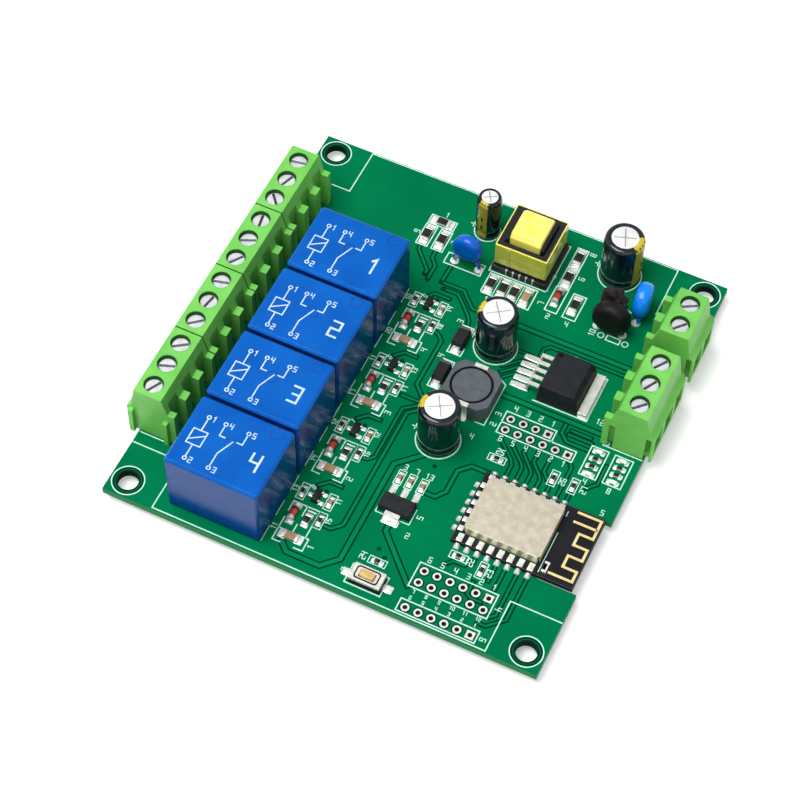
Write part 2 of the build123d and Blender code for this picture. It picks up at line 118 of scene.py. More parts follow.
def make_side_group():
    """One colour on level faces and another on upright ones."""
    inputs = [
        ("Level Colour", "Color", (0.5, 0.5, 0.5, 1)),
        ("Side Colour", "Color", (0.4, 0.4, 0.4, 1)),
        ("Side Until", "Float", 0),
        ("Level From", "Float", 1),
    ]
    group, nodes, link, given, result = new_group("level_and_side", inputs, [("Colour", "Color")])
    facing, parts = add_node(nodes, "NewGeometry"), add_node(nodes, "SeparateXYZ")
    rise, share = add_node(nodes, "Math"), add_node(nodes, "MapRange")
    rise.operation = "ABSOLUTE"
    link(facing.outputs["True Normal"], parts.inputs["Vector"])
    link(parts.outputs["Z"], rise.inputs[0])
    link(rise.outputs["Value"], share.inputs["Value"])
    link(given.outputs["Side Until"], share.inputs["From Min"])
    link(given.outputs["Level From"], share.inputs["From Max"])
    choice = mixed(
        nodes, link, share.outputs["Result"], given.outputs["Side Colour"], given.outputs["Level Colour"]
    )
    link(choice, result.inputs["Colour"])
    return group


grained_skin, level_and_side = make_grain_group(), make_side_group()


def new_material(name):
    """A material with its nodes, its links and its shader."""
    material = bpy.data.materials.new(name)
    material.use_nodes = True
    shader = material.node_tree.nodes["Principled BSDF"]
    return material, material.node_tree.nodes, material.node_tree.links.new, shader


def skin_finish(
    name, main, second, rough=(0.35, 0.5), clouds=250, grain=5000, bump=0.05, gloss=0.3, **sockets
):
    """A material on the grained skin; the other sockets are set on its shader."""
    material, nodes, link, shader = new_material(name)
    group = nodes.new("ShaderNodeGroup")
    group.node_tree = grained_skin
    group.inputs["Colour"].default_value = colour(*main)
    group.inputs["Second Colour"].default_value = colour(*second)
    group.inputs["Cloud Scale"].default_value = clouds
    group.inputs["Grain Scale"].default_value = grain
    group.inputs["Low Roughness"].default_value, group.inputs["High Roughness"].default_value = rough
    height = add_node(nodes, "Bump", Strength=bump, Distance=0.00005)
    link(group.outputs["Colour"], shader.inputs["Base Color"])
    link(group.outputs["Roughness"], shader.inputs["Roughness"])
    link(group.outputs["Height"], height.inputs["Height"])
    link(height.outputs["Normal"], shader.inputs["Normal"])
    shader.inputs["Specular IOR Level"].default_value = gloss
    for name_of_socket, value in sockets.items():
        shader.inputs[name_of_socket.replace("_", " ").title()].default_value = value
    return material


def tell_sides(material, side_until=0, level_from=1):
    """Keeps the finish on level faces; returns the socket of the sides' colour."""
    nodes, link = material.node_tree.nodes, material.node_tree.links.new
    shader = nodes["Principled BSDF"]
    group = nodes.new("ShaderNodeGroup")
    group.node_tree = level_and_side
    group.inputs["Side Until"].default_value = side_until
    group.inputs["Level From"].default_value = level_from
    link(shader.inputs["Base Color"].links[0].from_socket, group.inputs["Level Colour"])
    link(group.outputs["Colour"], shader.inputs["Base Color"])
    return group.inputs["Side Colour"]


def clothe(node, finish):
    """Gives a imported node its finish."""
    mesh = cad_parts[node].data
    mesh.materials.clear()
    mesh.materials.append(finish)


MASK, MASK_DEEP = (0, 117, 72), (0, 107, 67)
MASK_GLOSS = dict(rough=(0.32, 0.42), clouds=60, gloss=0.06, specular_tint=(0.1, 1, 0.6, 1))
mask = skin_finish("solder_mask", MASK, MASK_DEEP, grain=1500, bump=0.02, **MASK_GLOSS)
tell_sides(mask).default_value = colour(24, 116, 62)
clothe("circuit_board", mask)

# Copper runs under the mask
# Copper foil laminated to the board and etched into runs. It shows through the mask as a
# lighter green, and the gap etched along each side of a run is painted as a dark line of shade.
board_low, board_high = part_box("circuit_board")


def on_board(x, y, z):
    """Millimetres from the front left corner of the board's top face, as scene metres."""
    return Vector((board_low.x + x / 1000, board_low.y + y / 1000, board_high.z + z / 1000))


def skin(shape, rings, finish=0, capped=True):
    """Skins a row of equally long rings of points, and caps both ends."""
    rows = [[shape.verts.new(on_board(*point)) for point in ring] for ring in rings]
    faces = [
        shape.faces.new((low[i - 1], low[i], high[i], high[i - 1]))
        for low, high in zip(rows, rows[1:])
        for i in range(len(low))
    ]
    if capped:
        faces += [shape.faces.new(rows[0]), shape.faces.new(rows[-1])]
    for face in faces:
        face.material_index = finish
    return faces


def stroke(shape, points, width, low, high, finish=0, closed=False):
    """A flat line of even width through points, mitred at its corners."""
    spots = [Vector(p) for p in points]
    count = len(spots)
    left, right = [], []
    for i, spot in enumerate(spots):
        before = spots[i - 1] if i or closed else None
        after = spots[(i + 1) % count] if i < count - 1 or closed else None
        ways = [(b - a).normalized() for a, b in ((before, spot), (spot, after)) if a and b]
        normals = [Vector((-way.y, way.x)) for way in ways]
        side = sum(normals, Vector((0, 0)))
        side = side / max(side.dot(normals[0]), 0.3) * width / 2
        end = Vector((0, 0))
        if len(ways) == 1:
            end = ways[0] * width / 2 * (1 if before else -1)
        left.append(spot + side + end)
        right.append(spot - side + end)
    rings = [
        [(a.x, a.y, low), (b.x, b.y, low), (b.x, b.y, high), (a.x, a.y, high)]
        for a, b in zip(left, right)
    ]
    skin(shape, rings + rings[:1] if closed else rings, finish, capped=not closed)


def finish_piece(shape, name, finishes, body="board", crease=35, replaces=()):
    """Turns the shape into a piece that rides on its body."""
    bmesh.ops.recalc_face_normals(shape, faces=shape.faces)
    for face in shape.faces:
        face.smooth = True
    for edge in shape.edges:
        edge.smooth = len(edge.link_faces) == 2 and edge.calc_face_angle() < math.radians(crease)
    mesh = bpy.data.meshes.new(name)
    shape.to_mesh(mesh)
    shape.free()
    for finish in finishes:
        mesh.materials.append(finish)
    piece = bpy.data.objects.new(name, mesh)
    bpy.context.collection.objects.link(piece)
    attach(piece, body)
    if replaces:
        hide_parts(*replaces)


# each run has its width and its course; the order is relays, supply, module and headers
runs = [
    (0.5, [(40.2, 58.5), (41.1, 58.1), (42.05, 57.0), (42.05, 46.0), (44.2, 43.9), (46.0, 43.9)]),
    (0.45, [(40.6, 42.6), (45.4, 42.6)]),
    (0.4, [(40.3, 26.9), (40.9, 26.9), (41.95, 28.0), (41.95, 39.9), (44.2, 41.7), (45.4, 41.7)]),
    (0.5, [(40.2, 10.7), (41.5, 10.7), (43.15, 12.4), (43.15, 39.4), (44.7, 40.8), (46.0, 40.8)]),
    (0.8, [(34.6, 4.6), (36.3, 2.95), (43.0, 2.95), (45.8, 5.8), (45.8, 28.2), (50.0, 32.4)]),
    (0.45, [(28.7, 77.4), (28.7, 75.2), (32.4, 71.2), (32.4, 70.3)]),
    (0.45, [(32.0, 77.2), (32.0, 74.4), (33.4, 72.8), (33.4, 69.5)]),
    (0.45, [(36.3, 75.6), (36.2, 70.1)]),
    (0.45, [(37.3, 68.5), (40.4, 68.5), (43.9, 65.0), (44.9, 63.6), (45.2, 61.6)]),
    (0.5, [(36.2, 69.8), (41.0, 69.8), (44.2, 66.6), (49.0, 66.6), (50.5, 63.5)]),
    (0.45, [(35.2, 65.5), (36.2, 66.7), (39.2, 66.7)]),
    (0.8, [(50.6, 63.6), (53.2, 66.95), (77.4, 66.95)]),
    (0.45, [(60.5, 62.2), (60.5, 64.0), (61.5, 65.0), (77.4, 65.0)]),
    (0.4, [(56.0, 61.6), (59.0, 61.6)]),
    (0.4, [(54.9, 57.0), (57.8, 59.8), (59.0, 59.8)]),
    (0.4, [(55.2, 55.6), (57.6, 58.0), (59.0, 58.0)]),
    (0.4, [(56.0, 54.6), (57.4, 56.2), (59.0, 56.2)]),
    (0.8, [(57.6, 51.0), (77.4, 51.0)]),
    (0.5, [(71.05, 50.0), (71.05, 48.1), (72.6, 46.65), (77.0, 46.65)]),
    (0.4, [(72.6, 49.3), (76.4, 49.3)]),
    (0.4, [(72.4, 48.3), (77.0, 48.3)]),
    (0.6, [(53.9, 25.1), (55.6, 25.1), (57.0, 27.0), (57.0, 32.0), (59.0, 34.05), (62.0, 34.05)]),
    (0.75, [(50.6, 15.6), (50.6, 14.7), (59.0, 6.3)]),
    (0.4, [(61.3, 42.6), (61.3, 41.9), (64.9, 38.6), (65.5, 37.5), (65.5, 34.8)]),
    (0.4, [(63.8, 42.6), (63.8, 41.6), (66.9, 38.7), (67.5, 37.7), (67.5, 34.8)]),
    (0.4, [(66.4, 42.6), (66.4, 40.9), (69.0, 38.2), (69.5, 37.3), (69.5, 34.8)]),
    (0.4, [(68.9, 42.6), (68.9, 39.9), (71.1, 37.6), (71.5, 36.8), (71.5, 34.8)]),
    (0.4, [(71.4, 42.6), (71.4, 38.9), (72.6, 37.6)]),
    (0.4, [(74.8, 42.9), (75.7, 41.9), (75.7, 34.8)]),
    (0.4, [(73.6, 36.5), (73.6, 34.8)]),
    (0.4, [(77.6, 36.5), (77.6, 34.8)]),
    (0.4, [(79.9, 39.0), (81.4, 40.6), (81.4, 45.0)]),
    (0.4, [(77.7, 17.0), (77.7, 7.6), (74.9, 4.9), (73.4, 4.9)]),
    (0.4, [(75.7, 17.0), (75.7, 7.7), (74.9, 6.9)]),
    (0.4, [(73.4, 17.0), (73.4, 12.4)]),
    (0.4, [(71.6, 17.0), (71.6, 13.4)]),
    (0.35, [(69.3, 12.0), (69.3, 9.4), (70.1, 8.9), (72.2, 8.9)]),
    (0.4, [(67.6, 17.0), (67.6, 15.6), (66.4, 14.4), (64.4, 14.4), (63.2, 13.2)]),
]
CHANNELS = (54.1, 38.2, 22.0, 6.0)
for channel in CHANNELS[:3]:
    runs.append((0.45, [(39.3, channel - 2.5), (36.9, channel - 2.5), (35.4, channel - 4.0)]))
ETCHED = 0.33
gaps, copper = bmesh.new(), bmesh.new()
for step, (width, course) in enumerate(runs):
    # each run lies a hair above the last, so that no two faces share a plane
    stroke(gaps, course, width + 2 * ETCHED, 0.0, 0.004 + 0.001 * step)
    stroke(copper, course, width, 0.0, 0.048 + 0.0005 * step)
# the etched gaps, the rings round pads and mounting holes and the via dots are painted darker than the board,
# as shade
gap_shade_finish = skin_finish("mask_over_gap_shade", (0, 54, 36), (0, 48, 32), **MASK_GLOSS)
run_finish = skin_finish("mask_over_copper", (4, 126, 78), MASK, **MASK_GLOSS)
finish_piece(gaps, "etched_gaps", [gap_shade_finish])
finish_piece(copper, "copper_runs", [run_finish])

# Plated holes
# Drilled holes whose copper plating is tinned, with a ring on each face; the first pin's pad
# is square. The plating inside the header holes, the rings round pads and holes, and the
# mounting holes' bore are painted dark as shade, and the small vias stay under the mask.
PITCH = 2.54
UNDERSIDE = -1.6
header_rows = [
    ((60.5, 2.07), 6), ((60.5, 7.63), 6), ((60.5, 10.17), 6), ((61.27, 44.05), 6), ((61.27, 46.6), 4)
]
square_pads = {(73.2, 2.07), (73.2, 10.17), (73.97, 44.05), (68.89, 46.6)}
mounting_holes = [(x, y) for x in (3.5, 83.5) for y in (3.5, 89.5)]
vias = [(32.5, 70), (33.5, 69), (36.2, 69.8), (37.3, 68.5), (51.2, 10.8), (52.9, 9.5), (52.8, 31)]
vias += [(37.3, channel + 11.4) for channel in CHANNELS]
pads, pad_gaps = bmesh.new(), bmesh.new()


def seat(x, y, z=0.0, turn=0.0, tilt=0.0):
    """A place on the board, turned about Z after it was tilted about X."""
    place = Matrix.Translation((x, y, z)) @ Matrix.Rotation(math.radians(turn), 4, "Z")
    return place @ Matrix.Rotation(math.radians(tilt), 4, "X")


def circle(radius, sides=40):
    """A regular outline about the origin."""
    step = 2 * math.pi / sides
    return [(radius * math.cos(i * step), radius * math.sin(i * step)) for i in range(sides)]


def stack(shape, place, layers, finish=0, capped=True):
    """Skins outlines at rising heights; a layer is an outline and its height."""
    rings = [[place @ Vector((x, y, z)) for x, y in outline] for outline, z in layers]
    return skin(shape, rings, finish, capped)


def turned(shape, place, profile, finish=0, sides=40, capped=True):
    """A round form about the place's Z; the profile lists radius and height."""
    return stack(shape, place, [(circle(r, sides), z) for r, z in profile], finish, capped)


def washer(shape, place, inner, outer, low, high, finish=0, sides=40):
    """A flat ring with a hole."""
    profile = [(inner, low), (outer, low), (outer, high), (inner, high), (inner, low)]
    turned(shape, place, profile, finish, sides, capped=False)


def square_pad(shape, place, size, hole, low, high, sides=24):
    """A square pad round a drilled hole."""
    bore, rim = circle(hole, sides), []
    for x, y in circle(1.0, sides):
        reach = size / 2 / max(abs(x), abs(y))
        rim.append((x * reach, y * reach))
    layers = [(bore, low), (rim, low), (rim, high), (bore, high), (bore, low)]
    stack(shape, place, layers, capped=False)


# a ring painted dark as shade round each pin's pad, the pad on both faces, and the plating in the hole,
# painted dark as shade
for (start, y), count in header_rows:
    for k in range(count):
        x = start + k * PITCH
        washer(pad_gaps, seat(x, y), 0.6, 1.05, 0.0, 0.072, sides=24)
        for low, high in ((0.0, 0.09), (UNDERSIDE - 0.045, UNDERSIDE)):
            if (round(x, 2), y) in square_pads:
                square_pad(pads, seat(x, y), 1.62, 0.46, low, high)
            else:
                washer(pads, seat(x, y), 0.46, 0.82, low, high, sides=24)
        washer(pads, seat(x, y), 0.41, 0.49, UNDERSIDE - 0.04, 0.08, 1, sides=24)
# a ring painted dark as shade, a thin lighter ring in it, and the bore's lining painted dark as shade
for x, y in mounting_holes:
    washer(pad_gaps, seat(x, y), 2.0, 2.9, 0.0, 0.012, sides=48)
    washer(pad_gaps, seat(x, y), 2.4, 2.5, 0.0, 0.02, 1, sides=48)
    washer(pads, seat(x, y), 1.985, 2.04, UNDERSIDE - 0.012, 0.016, 2, sides=48)
for x, y in vias:
    washer(pad_gaps, seat(x, y), 0.12, 0.42, 0.0, 0.08, sides=16)
tin = skin_finish(
    "tinned_copper", (240, 240, 234), (218, 218, 212), rough=(0.26, 0.4), clouds=900, grain=9000,
    bump=0.15, metallic=0.65,
)
# the plating in a hole is tinned like its pad; its dark colour is painted shade
barrel_shade = skin_finish("plated_barrel_shade", (70, 68, 60), (46, 45, 40), rough=(0.5, 0.7), clouds=900)
bore_shade = skin_finish("bore_shade", (10, 26, 20), (6, 18, 14), rough=(0.6, 0.8), gloss=0.05)
finish_piece(pad_gaps, "pad_gaps", [gap_shade_finish, run_finish])
finish_piece(pads, "header_pads", [tin, barrel_shade, bore_shade])

# White print
# Epoxy ink, screened over the mask: outlines of the parts, borders of the board and rings.
# Plain numbers stand at the header pins and beside parts, and crosses mark the plus poles.
LINE = 0.23
FINE_LINE = 0.16
INK = 0.08
SMALL_ALONG_X = ((62.5, 37.5), (64.8, 15.6), (52.1, 8.2))
SMALL_ALONG_Y = ((73.6, 38.3), (77.6, 38.3), (69.7, 14.8))
CAN_SPOTS = ((39.1, 85.1), (66.7, 86.8), (51.9, 60.5), (50.9, 36.6))
POWER_DIODES = ((45.4, 58.8), (45.3, 50.1))
REGULATOR_CHIPS = (48.1, 50.3, 52.7)
ink = bmesh.new()


def line(points, width=LINE):
    stroke(ink, points, width, 0.0, INK)


def outline_box(x0, x1, y0, y1, width=LINE):
    stroke(ink, [(x0, y0), (x1, y0), (x1, y1), (x0, y1)], width, 0.0, INK, closed=True)


def frame_round(x, y, half_x, half_y, width=FINE_LINE):
    """A printed frame round the middle of a part."""
    outline_box(x - half_x, x + half_x, y - half_y, y + half_y, width)


def ring(x, y, radius, width=LINE, sides=48):
    washer(ink, seat(x, y), radius - width / 2, radius + width / 2, 0.0, INK, sides=sides)


# each figure is drawn with the strokes of a stencil one unit wide and two high
FIGURES = {
    "0": [[(0, 0), (1, 0), (1, 2), (0, 2), (0, 0)]],
    "1": [[(0.2, 1.6), (0.6, 2), (0.6, 0)]],
    "2": [[(0, 2), (1, 2), (1, 1), (0, 1), (0, 0), (1, 0)]],
    "3": [[(0, 2), (1, 2), (1, 0), (0, 0)], [(0.2, 1), (1, 1)]],
    "4": [[(0, 2), (0, 1), (1, 1)], [(1, 2), (1, 0)]],
    "5": [[(1, 2), (0, 2), (0, 1), (1, 1), (1, 0), (0, 0)]],
    "6": [[(1, 2), (0, 2), (0, 0), (1, 0), (1, 1), (0, 1)]],
    "7": [[(0, 2), (1, 2), (1, 0)]],
    "8": [[(0, 0), (1, 0), (1, 2), (0, 2), (0, 0)], [(0, 1), (1, 1)]],
    "9": [[(1, 1), (0, 1), (0, 2), (1, 2), (1, 0), (0, 0)]],
}
FIGURE_STEP = 1.55
HALF_SPACE = 0.28
# a stroke that crosses another lies this much higher, so that no two faces share a plane
CROSSING = 0.006


def number(shape, x, y, value, height=1.1, turn=0, width=0.15, low=0.0, high=INK):
    """Writes a plain number centred on x, y, reading along its turn."""
    unit = height / 2
    figures = str(value)
    turned_by = Matrix.Rotation(math.radians(turn), 2)
    for i, figure in enumerate(figures):
        shift = ((i - len(figures) / 2) * FIGURE_STEP + HALF_SPACE) * unit
        for step, path in enumerate(FIGURES[figure]):
            spots = [turned_by @ Vector((shift + px * unit, (py - 1) * unit)) for px, py in path]
            loop = path[0] == path[-1]
            spots = [(x + s.x, y + s.y) for s in (spots[:-1] if loop else spots)]
            stroke(shape, spots, width, low, high + CROSSING * step, closed=loop)


# borders of the board, the gap between mains and relays, and rings round the mounting holes
line([(0.1, 11.3), (10.2, 11.3), (10.2, 0.4), (76.9, 0.4), (76.9, 11.4), (86.9, 11.4)])
line([(6.3, 82.0), (10.2, 82.0), (10.2, 92.7), (76.7, 92.7), (76.7, 81.0)])
line([(0.4, 13.8), (6.1, 13.8)])
line([(79.0, 49.0), (86.8, 49.0)])
for k in range(11):
    line([(31.2, 3.0 + 5.9 * k), (31.2, 6.4 + 5.9 * k)], FINE_LINE)
for x, y in mounting_holes:
    ring(x, y, 3.05, 0.22)

# header outlines, and a number at every pin
outline_box(59.1, 74.5, 0.9, 3.5)
outline_box(59.1, 74.5, 6.3, 11.6)
outline_box(59.9, 75.2, 42.9, 45.4)
line([(59.9, 45.4), (59.9, 48.0), (70.1, 48.0), (70.1, 45.4)])
for k in range(6):
    number(ink, 60.5 + PITCH * k, 4.2, 6 - k, 0.7, width=0.12)
    number(ink, 60.5 + PITCH * k, 5.6, 7 + k, 0.7, width=0.12)
    number(ink, 60.5 + PITCH * k, 12.7, 6 - k)
    number(ink, 61.27 + PITCH * k, 41.9, 6 - k)
for k in range(4):
    number(ink, 61.27 + PITCH * k, 49.2, 4 - k)
for x, y, value, turn in (
    (75.6, 2.2, 6, -90), (75.6, 9.0, 4, -90), (58.7, 46.7, 3, 90), (58.7, 44.2, 2, 90)
):
    number(ink, x, y, value, turn=turn)

# the small parts of each relay's channel
for index, row in enumerate(CHANNELS):
    base = [(34.4, -1.8), (32.8, -1.8), (32.8, 0.9), (38.9, 0.9), (38.9, -1.8), (37.2, -1.8)]
    line([(x, row + y) for x, y in base])
    line([(32.8, row + 0.9), (32.8, row + 3.3)])
    line([(32.8, row + 4.8), (32.8, row + 7.0), (38.2, row + 7.0), (38.2, row + 0.9)])
    line([(35.6, row + 0.9), (35.6, row + 2.8)])
    line([(35.6, row + 4.8), (35.6, row + 7.0)])
    line([(36.2, row + 6.3), (37.6, row + 6.3)], 0.3)
    for x, y in ((33.4, 9.6), (39.0, 9.6), (39.0, 5.3)):
        frame_round(x, row + y, 0.75, 1.75)
    line([(33.4, row + 2.3), (34.0, row + 3.2), (34.6, row + 2.3)], FINE_LINE)
    number(ink, 39.9, row - 0.4, 4 - index, turn=90)
    for x, y, value in (
        (31.9, 0.8, 20 - 3 * index), (40.4, 5.8, 18 - index), (40.3, 10.4, 14 - index),
        (31.9, 9.6, 10 + index),
    ):
        number(ink, x, row + y, value, 0.9, 90)
    number(ink, 34.8, row + 11.2, index + 5, 0.9, 60)

# capacitors, discs and the transformer
for (x, y), radius in zip(CAN_SPOTS, (2.62, 4.28, 4.25, 4.25)):
    ring(x, y, radius)
outline_box(34.5, 42.3, 74.3, 77.0)
line([(55.5, 76.5), (43.3, 76.5), (43.3, 88.7), (55.5, 88.7), (55.5, 76.5)])
ring(69.0, 71.8, 0.6, 0.2, 20)
outline_box(70.2, 72.9, 71.2, 72.4)
ring(74.0, 71.8, 0.6, 0.2, 20)
line([(70.2, 79.9), (72.2, 79.2)], 0.3)
for x, y in ((36.0, 85.6), (62.0, 87.4), (47.0, 61.2), (45.9, 37.4)):
    line([(x - 0.6, y), (x + 0.6, y)], 0.2)
    line([(x, y - 0.6), (x, y + 0.6)], 0.2)

# regulators, inductor and diodes
line([(55.3, 54.4), (57.3, 53.2), (57.3, 43.2), (55.4, 43.2)])
line([(63.2, 52.4), (74.2, 52.4), (74.2, 62.9), (63.2, 62.9)])
for x, y in POWER_DIODES:
    line([(x - 1.2, y + 3.5), (x + 1.2, y + 3.5), (x + 1.2, y + 2.0)])
    line([(x - 1.4, y - 1.6), (x - 1.4, y - 3.4), (x + 1.4, y - 3.4), (x + 1.4, y - 1.6)])
line([(47.1, 21.1), (47.1, 17.6), (53.9, 17.6), (53.9, 21.1)], 0.18)
for x in REGULATOR_CHIPS:
    outline_box(x - 0.7, x + 0.7, 24.4, 27.6, FINE_LINE)
line([(43.9, 71.0), (54.0, 71.0), (54.0, 76.0), (43.9, 76.0), (43.9, 71.0)])
for x in (46.35, 48.85, 51.25):
    line([(x, 71.1), (x, 75.9)], FINE_LINE)

# chip resistors, small lamps and the reset switch
for x in (28.7, 32.0):
    outline_box(x - 1.2, x + 1.2, 76.3, 81.5)
outline_box(27.6, 33.0, 81.9, 84.1)
for y in (86.7, 81.5):
    outline_box(56.95, 59.25, y - 2.5, y + 2.5)
outline_box(56.8, 59.3, 72.6, 78.7)
outline_box(60.55, 63.2, 72.5, 78.6)
outline_box(77.3, 80.7, 41.3, 48.0)
outline_box(82.0, 85.6, 41.4, 48.0)
for x, y in SMALL_ALONG_X:
    frame_round(x, y, 1.7, 0.75)
for x, y in SMALL_ALONG_Y:
    frame_round(x, y, 0.75, 1.7)
outline_box(48.4, 55.5, 2.0, 6.1)

# numbers beside the supply's parts: the place, the number and the turn
labels = [
    (30.4, 85.2, 1, 0), (26.6, 79.0, 9, 90), (34.4, 79.4, 2, 90), (43.9, 86.4, 3, 90), (36.0, 88.2, 1, 0),
    (46.0, 69.9, 11, 0), (49.2, 69.9, 12, 0), (55.6, 73.6, 7, 90), (60.3, 88.8, 8, 90), (60.5, 82.4, 6, 90),
    (55.2, 80.6, 5, 90), (58.0, 71.4, 2, 0), (62.0, 71.2, 4, 0), (67.2, 71.6, 10, 90), (78.4, 83.0, 1, 90),
    (43.4, 62.9, 3, 90), (43.4, 54.0, 4, 90), (58.6, 54.0, 6, 90), (56.2, 40.0, 4, 0), (54.6, 15.4, 2, 0),
    (55.1, 19.8, 5, 90), (48.2, 28.5, 3, 0), (50.5, 28.5, 7, 0), (53.0, 28.5, 13, 0), (71.2, 14.8, 23, 90),
    (67.2, 15.4, 22, 90), (76.6, 53.4, 12, 0), (84.6, 35.4, 5, 0), (49.2, 8.3, 24, 90), (47.4, 4.2, 3, 90),
    (79.3, 49.9, 15, 0), (62.5, 39.2, 25, 0), (75.4, 38.3, 26, 90), (79.6, 38.3, 27, 90), (66.0, 81.6, 14, 0),
    (79.0, 40.2, 4, 0), (83.8, 40.2, 8, 0), (66.8, 64.4, 9, 0),
]
for x, y, value, turn in labels:
    number(ink, x, y, value, turn=turn)
white_ink = skin_finish(
    "white_ink", (208, 242, 229), (182, 228, 210), rough=(0.5, 0.65), clouds=900, grain=6000, bump=0.1
)
finish_piece(ink, "white_print", [white_ink])

# Terminal housings
# Injection-moulded polyamide in light green. Every pole has a round well with a raised rim, its
# inner wall painted darker as shade, and an open wire entry. The output housings slide together
# by rails, and a dark sheet in each joint is painted shade between them.
green_nylon = skin_finish(
    "green_nylon", (118, 200, 90), (104, 187, 80), rough=(0.38, 0.52), clouds=180, grain=5200, bump=0.09,
    subsurface_weight=0.05, subsurface_radius=(0.0006, 0.001, 0.0004),
)
# a darker copy of the nylon for the wells' inner walls: painted shade
green_shade = skin_finish(
    "green_nylon_inside_shade", (40, 96, 38), (32, 82, 32), rough=(0.5, 0.7), clouds=180, bump=0.06, gloss=0.15
)
joint_shade = skin_finish(
    "joint_shade", (16, 52, 18), (12, 42, 14), rough=(0.6, 0.8), clouds=180, gloss=0.05
)


def soften(node, radius):
    """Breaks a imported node's sharp edges, as a mould does."""
    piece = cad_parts[node]
    piece.modifiers.new("joined", "WELD").merge_threshold = 0.000001
    bevel = piece.modifiers.new("broken_edges", "BEVEL")
    bevel.width = radius / 1000
    bevel.segments = 2
    bevel.limit_method = "ANGLE"
    bevel.angle_limit = math.radians(30)
    bevel.harden_normals = True


output_housings = [f"output_terminal_housing_{k}" for k in (1, 2, 3, 4)]
for node in (*output_housings, "mains_terminal_housing", "dc_terminal_housing"):
    soften(node, 0.12)
    clothe(node, green_nylon)
POLE = 5.08
HOUSING_STEP = 16.05
ROW_BACK = 7.9
JOINT_HALF = 0.19
screw_spots = [(2.45, 22.15 + HOUSING_STEP * k - POLE * pole) for k in range(4) for pole in (-1, 0, 1)]
screw_spots += [(83.75, 57.2 + POLE * pole) for pole in (-1, 0, 1)]
screw_spots += [(83.75, 74.45 + POLE * pole) for pole in (-0.5, 0.5)]
collars = bmesh.new()
for x, y in screw_spots:
    rim = [(2.05, 10.35), (2.05, 13.03), (1.96, 13.05), (1.86, 12.97)]
    turned(collars, seat(x, y), rim, capped=False)
    # the well's inner wall takes the painted shade
    turned(collars, seat(x, y), [(1.86, 12.97), (1.84, 10.35), (2.05, 10.35)], 1, capped=False)
finish_piece(collars, "well_collars", [green_nylon, green_shade])
side_outline = [
    (0.06, 0.3), (10.04, 0.3), (10.04, 6.76), (9.0, 7.77), (8.16, 12.94), (2.54, 12.94), (1.44, 8.94),
    (0.06, 8.94),
]
# a dark sheet in each joint between two output housings, painted shade
shade_sheets = bmesh.new()
for k in range(3):
    middle = 30.175 + HOUSING_STEP * k
    faces = [[(ROW_BACK - u, middle + way * JOINT_HALF, z) for u, z in side_outline] for way in (-1, 1)]
    skin(shade_sheets, faces)
finish_piece(shade_sheets, "joint_shade_sheets", [joint_shade])

# Clamp screws
# Cold-headed steel with a bright nickel coat: a slotted pan head and a threaded shank.
# Each turns in its own ledge, so that the slots stand at every angle.
nickel = skin_finish(
    "bright_nickel", (236, 240, 242), (214, 218, 222), rough=(0.2, 0.36), clouds=1200, grain=9000, bump=0.2,
    metallic=0.45,
)
# the slot's floor is the head's own nickel; its darker grey is painted shade
slot_shade = skin_finish(
    "slot_floor_shade", (96, 98, 100), (70, 71, 73), rough=(0.4, 0.6), clouds=1500, metallic=0.8
)
SLOT_ANGLES = (35, 20, 62, 15, 80, 40, 100, 25, 55, 10, 70, 130, 45, 60, 55, 48, 30)
OUTPUT_SCREWS = 12
HEAD_TOP = 12.19
THREAD_STEP = 0.3
thread = [(1.25, 4.66)]
for k in range(18):
    thread += [(1.25, 4.7 + THREAD_STEP * k), (1.05, 4.85 + THREAD_STEP * k)]
thread += [(1.25, 10.3), (1.74, 10.3), (1.74, 11.92), (1.66, 12.1), (1.5, HEAD_TOP)]


def slotted_head(shape, place, radius, half_width, top, floor):
    """The head's face: two bright segments with the slot's walls and floor between them; the floor is painted
    darker as shade.
    """
    def face(points):
        return shape.faces.new([shape.verts.new(on_board(*(place @ Vector(p)))) for p in points])

    reach = math.asin(half_width / radius)
    for side in (1, -1):
        arc = [reach + (math.pi - 2 * reach) * k / 18 for k in range(19)]
        rim = [(radius * math.cos(a), side * radius * math.sin(a), top) for a in arc]
        face(rim)
        face([rim[0], rim[-1], rim[-1][:2] + (floor,), rim[0][:2] + (floor,)])
    edge = radius * math.cos(reach)
    corners = [(edge, half_width), (-edge, half_width), (-edge, -half_width), (edge, -half_width)]
    face([(x, y, floor) for x, y in corners]).material_index = 1


for index, ((x, y), angle) in enumerate(zip(screw_spots, SLOT_ANGLES), 1):
    screw, node = bmesh.new(), f"clamp_screw_{index}"
    place = seat(x, y, turn=angle + (180 if index <= OUTPUT_SCREWS else 0))
    turned(screw, place, thread, sides=36, capped=False)
    slotted_head(screw, place, 1.5, 0.28, HEAD_TOP, 11.55)
    finish_piece(screw, f"pan_head_screw_{index}", [nickel, slot_shade], node, replaces=[node])

# Cages and contacts
# Bent and plated steel cages with a nut on top, and tinned copper strips that the wire is
# pressed on. Both show in the wire entries.
steel_plate = skin_finish(
    "plated_steel", (196, 196, 190), (158, 158, 152), rough=(0.25, 0.42), clouds=900, grain=7000, bump=0.15,
    metallic=1.0,
)
clothe("wire_clamp_cages", steel_plate)
clothe("terminal_contacts", tin)
soften("wire_clamp_cages", 0.08)

# Relays
# Sealed cases of clear blue polyester, printed on top. The walls are painted darker than the
# top as shade, and paler streaks in them stand for the coil and its frame close behind.
RELAY_X = 21.8
RELAY_ROWS = [10.15 + 16.02 * k for k in range(4)]
RELAY_PRINT = (15.38, 15.43)
black_nylon = skin_finish("black_nylon", (26, 26, 28), (18, 18, 20), rough=(0.4, 0.6), clouds=300, bump=0.1)


